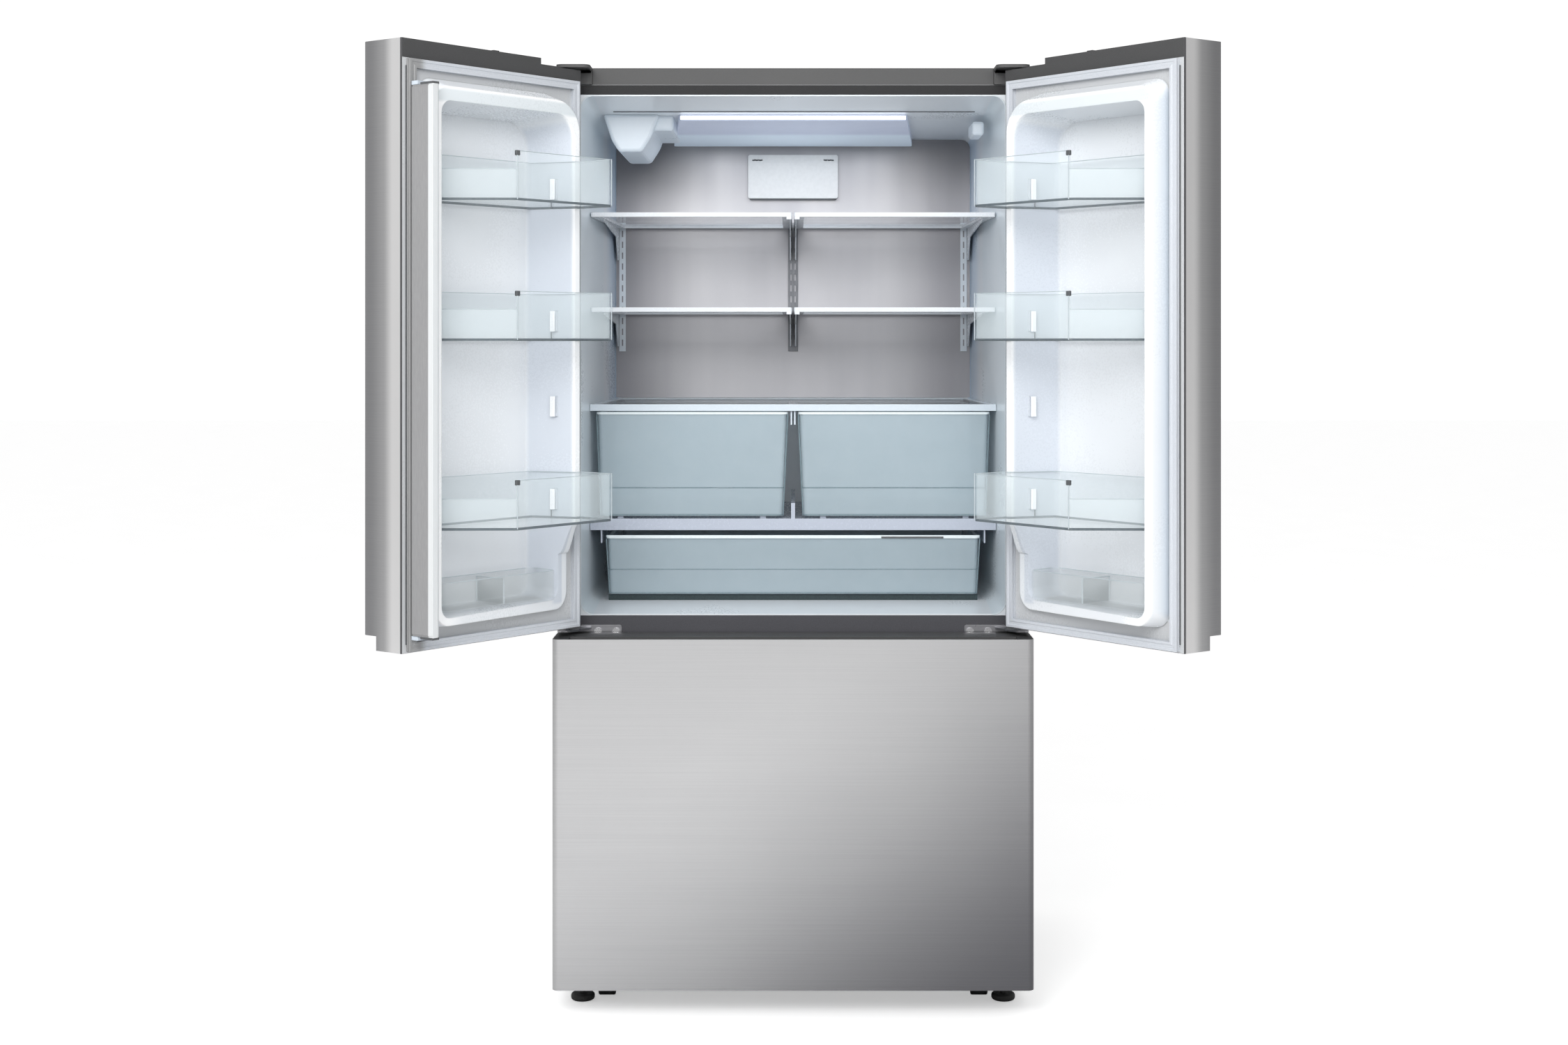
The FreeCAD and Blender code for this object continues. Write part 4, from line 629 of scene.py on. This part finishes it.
dark_cap = finish("dark_cap", (0.062, 0.062, 0.062), (0.05, 0.05, 0.052), (1000, 1000, 1000),
                  (0.42, 0.55), 0.00006, cloud=0.25, edge=0.0012)
dress(dark_cap, "left_door_caps", "right_door_caps", "drawer_handle_cap")

# ---------------------------------------------------------------------------------------------
# Inner panels of the doors: one moulding each, with the raised ring that carries the bins. The
# flat flange round it is painted greyer for the shade of the gasket, the ring's walls carry painted
# bluish shade, its crest a painted white highlight and the crest's top stretch painted grey shade.

door_joint = next(joint for joint in frame["joints"] if joint["name"] == "left_door_hinge")
hinge_place = Vector(door_joint["pos_m"])
turn_shut = Matrix.Rotation(-math.radians(door_joint["range_deg"][0]), 4, "Z")
to_shut = Matrix.Translation(hinge_place) @ turn_shut @ Matrix.Translation(-hinge_place)
to_open = to_shut.inverted()
to_right = Matrix.Scale(-1.0, 4, (1, 0, 0))


def shut_box(node):
    """Lowest and highest corners that a node of the left door has with the door shut."""
    places = [to_shut @ vert.co for vert in nodes[node].data.vertices]
    return (Vector(map(min, zip(*places))), Vector(map(max, zip(*places))))


door_low, door_high = shut_box("left_door_skin")
across = to_open.to_3x3() @ Vector((1, 0, 0))
inward = to_open.to_3x3() @ Vector((0, 1, 0))


def door_places(side):
    """Directions across and into an open door, and where its hinge edge and inner face lie on them."""
    mirror = Matrix.Identity(4) if side == "left" else to_right
    edge = mirror @ to_open @ Vector((door_low.x, door_high.y, 0))
    p_way, n_way = mirror.to_3x3() @ across, mirror.to_3x3() @ inward
    return p_way, p_way.dot(edge), n_way, n_way.dot(edge)


hinge_crest_p, free_crest_p = 0.060, 0.4165
crest_z = (0.785, 1.7145)
flange_shade = (0.66, 0.655, 0.65)
wall_foot = (0.0710, 0.045)
wall_lean = 0.30
for side in ("left", "right"):
    p_way, p_edge, n_way, n_edge = door_places(side)
    sheet = stainless_sheet(side + "_door_stainless")
    # Painted shade darkens the skin's folded edge towards the front, a painted highlight runs along its back
    # part, and a painted shadow line lies where it meets the panel.
    side_only = along(sheet, n_way, n_edge - 0.1025, n_edge - 0.099)
    toward_front = along(sheet, n_way, n_edge - 0.035, n_edge - 0.085)
    tint(sheet, both(sheet, side_only, toward_front), (0.62, 0.62, 0.63))
    painted_edge_highlight = both(sheet, along(sheet, n_way, n_edge - 0.048, n_edge - 0.022),
                       along(sheet, n_way, n_edge - 0.003, n_edge - 0.006))
    tint(sheet, painted_edge_highlight, (0.95, 0.945, 0.945), "MIX")
    tint(sheet, along(sheet, n_way, n_edge - 0.005, n_edge - 0.003), (0.35, 0.35, 0.36))
    dress(sheet, side + "_door_skin")
    panel = finish(side + "_door_panel", (0.79, 0.815, 0.84), (0.765, 0.79, 0.82), (260, 260, 260),
                   (0.24, 0.32), 0.00001, cloud=0.7, edge=0.003, Coat_Weight=0.1)
    # Painted shade: the flat flange round the ring is painted greyer, as in the shade of the gasket.
    flange = both(panel, along(panel, n_way, n_edge + 0.004, n_edge + 0.0015),
                  along(panel, n_way, n_edge - 0.006, n_edge - 0.003))
    for edge_in, way in ((hinge_crest_p, p_way), (-free_crest_p, -p_way)):
        place_p = p_way.dot(way) * p_edge
        outer = along(panel, way, place_p + edge_in + 0.002, place_p + edge_in - 0.002)
        tint(panel, both(panel, flange, outer), flange_shade)
    for height, way in ((crest_z[0], 1), (-crest_z[1], -1)):
        outer = along(panel, (0, 0, way), height + 0.002, height - 0.002)
        hinge_place_p, free_place_p = p_edge + hinge_crest_p, p_edge + free_crest_p
        across_middle = both(panel, along(panel, p_way, hinge_place_p - 0.002, hinge_place_p + 0.002),
                             along(panel, p_way, free_place_p + 0.002, free_place_p - 0.002))
        tint(panel, both(panel, both(panel, flange, outer), across_middle), flange_shade)
    # Painted shade: the ring's wall on the hinge side is painted a bluish grey.
    leaning = (p_way + wall_lean * n_way).normalized()
    wall_at = leaning.dot(p_way * (p_edge + wall_foot[0]) + n_way * (n_edge + wall_foot[1]))
    hinge_wall = both(panel, along(panel, leaning, wall_at + 0.014, wall_at + 0.001),
                      both(panel, along(panel, n_way, n_edge + 0.042, n_edge + 0.034),
                           along(panel, n_way, n_edge - 0.058, n_edge - 0.045)))
    ring_inside = along(panel, p_way, p_edge + hinge_crest_p, p_edge + hinge_crest_p + 0.004)
    ring_height = both(panel, along(panel, (0, 0, 1), crest_z[0] - 0.004, crest_z[0] + 0.004),
                       along(panel, (0, 0, 1), crest_z[1] + 0.004, crest_z[1] - 0.004))
    tint(panel, both(panel, both(panel, hinge_wall, ring_inside), ring_height), (0.80, 0.825, 0.87))
    # Painted shade: the ring's wall on the free side is painted a darker bluish grey.
    free_wall = both(panel, along(panel, p_way, p_edge + free_crest_p - 0.002, p_edge + free_crest_p + 0.004),
                     both(panel, along(panel, n_way, n_edge + 0.002, n_edge + 0.005),
                          along(panel, n_way, n_edge + 0.044, n_edge + 0.038)))
    tint(panel, free_wall, (0.72, 0.775, 0.83))
    # Painted highlight: the ring's crest is painted near white; painted shade greys the top stretch of the
    # crest.
    crest = along(panel, n_way, n_edge + 0.038, n_edge + 0.044)
    tint(panel, crest, (0.93, 0.94, 0.95), "MIX")
    crest_top = both(panel, along(panel, (0, 0, 1), crest_z[1] - 0.020, crest_z[1] - 0.012),
                     along(panel, (0, 0, 1), crest_z[1] + 0.010, crest_z[1] + 0.004))
    tint(panel, both(panel, crest, crest_top), (0.70, 0.745, 0.77), "MIX")
    dress(panel, side + "_door_liner")
dress(liner_white, "drawer_liner")

# ---------------------------------------------------------------------------------------------
# Gaskets: soft extruded bellows with a magnet in the front lip, welded at the corners and
# pressed in a groove round each door. Grooves run along the lip and both flanks, and a dark gap
# shows beside the stretch at the door's free edge.


def soft_rubber(name):
    """Grey rubber with a dull skin."""
    return finish(name, (0.56, 0.585, 0.625), (0.51, 0.535, 0.575), (500, 500, 500), (0.5, 0.62),
                  0.00004, cloud=0.3, edge=0.0006)


def bellows(low, high, width):
    """Ring with welded mitres between two heights off the panel, with grooved flanks and lip."""
    made = bmesh.new()
    middle, size = (low + high) / 2, high - low
    upright = Matrix.Rotation(math.radians(90), 3, "X")
    place = Matrix.LocRotScale(Vector((middle.x, low.y, middle.z)), upright, Vector((size.x, size.z, 1)))
    bmesh.ops.create_grid(made, x_segments=1, y_segments=1, size=0.5, matrix=place)
    inside = list(made.faces)
    ring = bmesh.ops.inset_region(made, faces=inside, thickness=width, depth=0.0, use_boundary=True,
                                  use_even_offset=True)["faces"]
    bmesh.ops.delete(made, geom=inside, context="FACES")
    for share, pinch in ((0.3, 0.0), (0.1, 0.0022), (0.15, 0.0), (0.1, -0.0022), (0.35, 0.0)):
        step = bmesh.ops.extrude_face_region(made, geom=ring)
        verts = [item for item in step["geom"] if isinstance(item, bmesh.types.BMVert)]
        ring = [item for item in step["geom"] if isinstance(item, bmesh.types.BMFace)]
        bmesh.ops.translate(made, verts=verts, vec=(0, size.y * share, 0))
        ring_edges = {edge for face in ring for edge in face.edges}
        for mitre in (edge for edge in ring_edges if all(face in ring for face in edge.link_faces)):
            first, second = mitre.verts
            across = (second.co - first.co).normalized() * pinch * math.sqrt(2)
            first.co += across
            second.co -= across
    bmesh.ops.recalc_face_normals(made, faces=made.faces)
    bmesh.ops.inset_region(made, faces=ring, thickness=width * 0.28, depth=0.0, use_even_offset=True)
    bmesh.ops.inset_region(made, faces=ring, thickness=width * 0.08, depth=-0.0012, use_even_offset=True)
    return made


seal_rubber = soft_rubber("seal_rubber")
shaded_seal = soft_rubber("shaded_seal")
seal_width = 0.016
p_way, p_edge, _, _ = door_places("left")
tint(shaded_seal, along(shaded_seal, p_way, p_edge + 0.40, p_edge + 0.42), (0.52, 0.50, 0.47))
for side, turn in (("left", Matrix.Identity(4)), ("right", to_right)):
    low, high = shut_box("left_door_gasket")
    foot_lines = bmesh.new()
    for x in (high.x + 0.0010, high.x - 0.0170):
        bar(foot_lines, (x - 0.0008, low.y - 0.0004, low.z + 0.012),
            (x + 0.0008, low.y + 0.0022, high.z - 0.012), 0.0004)
    bmesh.ops.transform(foot_lines, matrix=turn @ to_open, verts=foot_lines.verts)
    new_piece(side + "_seal_shadow_gap", foot_lines, dark_line, side + "_door")
    seal = bellows(low, high, seal_width)
    bmesh.ops.transform(seal, matrix=turn @ to_open, verts=seal.verts)
    rubber = shaded_seal if side == "left" else seal_rubber
    piece = new_piece(side + "_door_seal", seal, rubber, side + "_door")
    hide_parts(side + "_door_gasket")
dress(seal_rubber, "drawer_gasket")

# ---------------------------------------------------------------------------------------------
# Edges of the door bins: the thick foot of each clear wall is drawn as a dark line of painted shade,
# and its rim and corners as paler lines of painted light. White lugs on the door's panel carry the
# bins, with short dark bars of painted shadow below them.

bin_floors = (0.944, 1.278, 1.526)
bin_tall, bin_low = 0.088, 0.056
wall_p = wall_foot[0] + wall_lean * (wall_foot[1] - 0.006)
for side in ("left", "right"):
    body = side + "_door"
    low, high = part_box(side + "_door_bins")
    heights = sorted({round(vert.co.z, 4) for vert in nodes[side + "_door_bins"].data.vertices})
    floors = [z for z in heights if z - 0.001 <= low.z] + [z for z in heights
              if any(abs(z - floor) < 2e-4 for floor in bin_floors[1:])]
    foot_heights = [(z + 0.0002, z + 0.0045) for z in sorted(set(floors))]
    # Painted shade: a dark band along the foot of each bin wall.
    wall_band(side + "_bin_feet", side + "_door_bins", foot_heights, bin_edge, body)

bin_rim = finish("bin_rim", (0.50, 0.55, 0.58), (0.44, 0.49, 0.52), (200, 200, 200), (0.12, 0.22), 0.00001,
                 edge=0.0)
lug_white = finish("lug_white", (0.93, 0.94, 0.95), (0.89, 0.90, 0.915), (260, 260, 260), (0.24, 0.32),
                   0.00001, edge=0.0008)


def level_rim(start, end):
    """Test for the level edges along the top of a door bin's walls."""
    return abs(start.z - end.z) < 1e-4 and any(
        abs(start.z - floor - rise) < 6e-4 for floor in bin_floors for rise in (bin_tall, bin_low))


for side, turn in (("left", Matrix.Identity(4)), ("right", to_right)):
    # Painted light: paler lines along the bins' rims and up their corners.
    edge_lines(side + "_bin_rims", side + "_door_bins", level_rim, 0.0006, bin_rim, side + "_door")
    low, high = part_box(side + "_base_bin")
    edge_lines(side + "_base_bin_rims", side + "_base_bin",
               lambda start, end: max(start.z, end.z) > high.z - 0.006 and (end - start).length > 0.002,
               0.0006, bin_rim, side + "_door")
    corners, pads = bmesh.new(), bmesh.new()
    for floor in bin_floors:
        for p, n, rise in ((0.3005, 0.1315, bin_tall - 0.009), (0.0545, 0.1300, bin_tall - 0.001)):
            corner = Vector((door_low.x + p, door_high.y + n, floor + 0.002))
            bar(corners, corner - Vector((0.0008, 0.0008, 0)), corner + Vector((0.0008, 0.0008, rise)),
                0.0004)
    for floor in bin_floors + ((bin_floors[0] + bin_floors[1]) / 2 + 0.007,):
        pad = Vector((door_low.x + wall_p, door_high.y + 0.006, floor))
        bar(pads, pad + Vector((-0.002, -0.0052, 0.0178)), pad + Vector((0.0024, 0.0052, 0.0562)), 0.0008)
    for mesh in (corners, pads):
        bmesh.ops.transform(mesh, matrix=turn @ to_open, verts=mesh.verts)
    new_piece(side + "_bin_corners", corners, bin_rim, side + "_door")
    new_piece(side + "_bin_lugs", pads, lug_white, side + "_door")

bin_corner_p, bin_corner_n = 0.2985, 0.1295
for side, turn in (("left", Matrix.Identity(4)), ("right", to_right)):
    marks = bmesh.new()
    for floor in reversed(bin_floors):
        corner = Vector((door_low.x + bin_corner_p, door_high.y + bin_corner_n, floor + bin_tall))
        bar(marks, corner - Vector((0.0045, 0.003, 0.0085)), corner + Vector((0.0045, 0.003, 0.0006)), 0.0012)
        # Painted shadow: a short dark bar below each lug.
        foot = Vector((door_low.x + wall_p + 0.0008, door_high.y + 0.0035, floor))
        bar(marks, foot + Vector((-0.001, -0.0008, 0.001)), foot + Vector((0.0012, 0.0008, 0.0165)), 0.0005)
    for z in (door_low.z + 0.012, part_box("left_door_liner")[1].z - 0.022):
        clip = Vector((door_high.x - 0.016, door_high.y, z))
        bar(marks, clip - Vector((0.006, 0.0005, 0.0014)), clip + Vector((0.006, 0.0022, 0.0014)), 0.0006)
    bmesh.ops.transform(marks, matrix=turn @ to_open, verts=marks.verts)
    new_piece(side + "_door_marks_and_lug_shadows", marks, dark_line, side + "_door")

# ---------------------------------------------------------------------------------------------
# Folding flap: white moulding with a painted steel face, a dark clip at both ends.

flap_paint = finish("flap_paint", (0.315, 0.315, 0.32), (0.28, 0.28, 0.285), (500, 500, 60), (0.34, 0.44),
                    0.00003, cloud=0.3, edge=0.001, Metallic=0.15)
_, _, flap_n, flap_face = door_places("left")
flap_body = along(flap_paint, flap_n, flap_face + 0.0545, flap_face + 0.0575)
tint(flap_paint, flap_body, (0.70, 0.72, 0.73), "MIX")
dress(flap_paint, "mullion_flap")
flap_low, flap_high = shut_box("mullion_flap")
clips = bmesh.new()
for height, reach in ((flap_high.z, 0.0042), (flap_low.z, -0.0042)):
    z0, z1 = sorted((height - reach * 0.2, height + reach))
    bar(clips, (flap_low.x + 0.001, flap_low.y + 0.020, z0),
        (flap_high.x - 0.001, flap_high.y - 0.001, z1), 0.0012)
bmesh.ops.transform(clips, matrix=to_open, verts=clips.verts)
new_piece("flap_clips", clips, dark_line, "flap")

# ---------------------------------------------------------------------------------------------
# Freezer: white basket and tray, zinc-plated slides.

basket_white = finish("basket_white", (0.78, 0.80, 0.82), (0.74, 0.765, 0.79), (220, 220, 220), (0.35, 0.48),
                      0.00004, cloud=0.3, edge=0.0015)
dress(basket_white, "freezer_basket", "freezer_tray")
slide_zinc = finish("slide_zinc", (0.62, 0.63, 0.65), (0.52, 0.53, 0.55), (60, 500, 500), (0.26, 0.38),
                    0.00002, edge=0.0006, Metallic=1.0)
dress(slide_zinc, "slide_fixed", "slide_middle", "slide_inner")

# ---------------------------------------------------------------------------------------------
# Cooling parts: compressor shell and condenser in black enamel, evaporator of plain aluminium
# fins, two moulded fans.

black_enamel = finish("black_enamel", (0.022, 0.022, 0.023), (0.03, 0.03, 0.03), (300, 300, 300), (0.28, 0.4),
                      0.00004, edge=0.001)
dress(black_enamel, "compressor", "condenser")
fin_aluminium = finish("fin_aluminium", (0.76, 0.77, 0.78), (0.66, 0.67, 0.69), (500, 40, 500), (0.25, 0.38),
                       0.00002, edge=0.0, Metallic=1.0)
dress(fin_aluminium, "evaporator")
fan_plastic = finish("fan_plastic", (0.035, 0.035, 0.037), (0.045, 0.045, 0.047), (500, 500, 500),
                     (0.35, 0.5), 0.00003, edge=0.0008)
dress(fan_plastic, "condenser_fan", "evaporator_fan")

# ---------------------------------------------------------------------------------------------
# Feet and rollers: hard black rubber and nylon.

foot_rubber = finish("foot_rubber", (0.012, 0.012, 0.012), (0.02, 0.02, 0.02), (600, 600, 600), (0.5, 0.68),
                     0.00008, edge=0.001)
dress(foot_rubber, "levelling_legs", "front_rollers", "rear_rollers")

# ---------------------------------------------------------------------------------------------
# Studio: a pale floor, a white surround, one large soft light from the upper left and a weaker
# one from the right. The camera stands straight in front at chest height.

floor_mesh = bmesh.new()
bmesh.ops.create_grid(floor_mesh, x_segments=1, y_segments=1, size=30.0)
floor_data = bpy.data.meshes.new("studio_floor")
floor_mesh.to_mesh(floor_data)
floor_mesh.free()
pale_floor = finish("pale_floor", (0.93, 0.93, 0.93), (0.90, 0.90, 0.90), (3, 3, 3), (0.7, 0.8), 0.0,
                    edge=0.0, Emission_Color=(1.0, 1.0, 1.0, 1.0))
seen = pale_floor.node_tree.nodes.new("ShaderNodeLightPath")
lift = pale_floor.node_tree.nodes.new("ShaderNodeMath")
lift.operation = "MULTIPLY"
lift.inputs[1].default_value = 0.42
pale_floor.node_tree.links.new(seen.outputs["Is Camera Ray"], lift.inputs[0])
pale_floor.node_tree.links.new(lift.outputs["Value"],
                               pale_floor.node_tree.nodes["Principled BSDF"].inputs["Emission Strength"])
floor_data.materials.append(pale_floor)
studio_floor = bpy.data.objects.new("studio_floor", floor_data)
bpy.context.scene.collection.objects.link(studio_floor)

world = bpy.data.worlds.new("soft_surround")
bpy.context.scene.world = world
world.use_nodes = True
sky = world.node_tree.nodes["Background"]
sky.inputs["Strength"].default_value = 0.66
direction = world.node_tree.nodes.new("ShaderNodeTexCoord")
tilt = world.node_tree.nodes.new("ShaderNodeVectorMath")
tilt.operation = "DOT_PRODUCT"
tilt.inputs[1].default_value = (-0.62, 0.30, 0.72)
shade = world.node_tree.nodes.new("ShaderNodeMapRange")
shade.inputs["From Min"].default_value = -0.9
shade.inputs["From Max"].default_value = 0.7
shade.inputs["To Min"].default_value = 0.6
shade.inputs["To Max"].default_value = 1.0
seen = world.node_tree.nodes.new("ShaderNodeLightPath")
brighter = world.node_tree.nodes.new("ShaderNodeMath")
brighter.operation = "MAXIMUM"
straight = world.node_tree.nodes.new("ShaderNodeMath")
straight.operation = "MULTIPLY"
straight.inputs[1].default_value = 1.6
link = world.node_tree.links.new
link(direction.outputs["Generated"], tilt.inputs[0])
link(tilt.outputs["Value"], shade.inputs["Value"])
link(seen.outputs["Is Camera Ray"], straight.inputs[0])
link(shade.outputs["Result"], brighter.inputs[0])
link(straight.outputs["Value"], brighter.inputs[1])
link(brighter.outputs["Value"], sky.inputs["Color"])


def soft_light(name, place, target, size, power, colour=(1, 1, 1)):
    """Rectangular light at a place, turned towards a target."""
    lamp = bpy.data.lights.new(name, "AREA")
    lamp.shape = "RECTANGLE"
    lamp.size, lamp.size_y = size
    lamp.energy = power
    lamp.color = colour
    holder = bpy.data.objects.new(name, lamp)
    bpy.context.scene.collection.objects.link(holder)
    holder.location = place
    holder.rotation_euler = (Vector(target) - Vector(place)).to_track_quat("-Z", "Y").to_euler()


soft_light("key", (-1.5, -3.9, 3.3), (0, 0, 0.8), (2.4, 2.4), 78)
soft_light("front_fill", (0.3, -4.4, 2.75), (0, 0, 1.2), (3.4, 1.6), 95)
soft_light("fridge_lamp", (0, (lamp_low.y + lamp_high.y) / 2, lamp_low.z - 0.004),
           (0, (lamp_low.y + lamp_high.y) / 2, 0), (0.42, 0.10), 0.9, (0.90, 0.95, 1.0))

lens = bpy.data.cameras.new("camera")
lens.sensor_width = 36.0
lens.lens = 48.93
lens.shift_x = -13 / 2250
lens.shift_y = -260.5 / 2250
lens.clip_end = 100.0
viewpoint = bpy.data.objects.new("camera", lens)
bpy.context.scene.collection.objects.link(viewpoint)
viewpoint.location = (0.0, -4.4555, 1.278)
viewpoint.rotation_euler = (math.radians(90), 0, 0)
bpy.context.scene.camera = viewpoint
bpy.context.scene.view_settings.view_transform = "Standard"
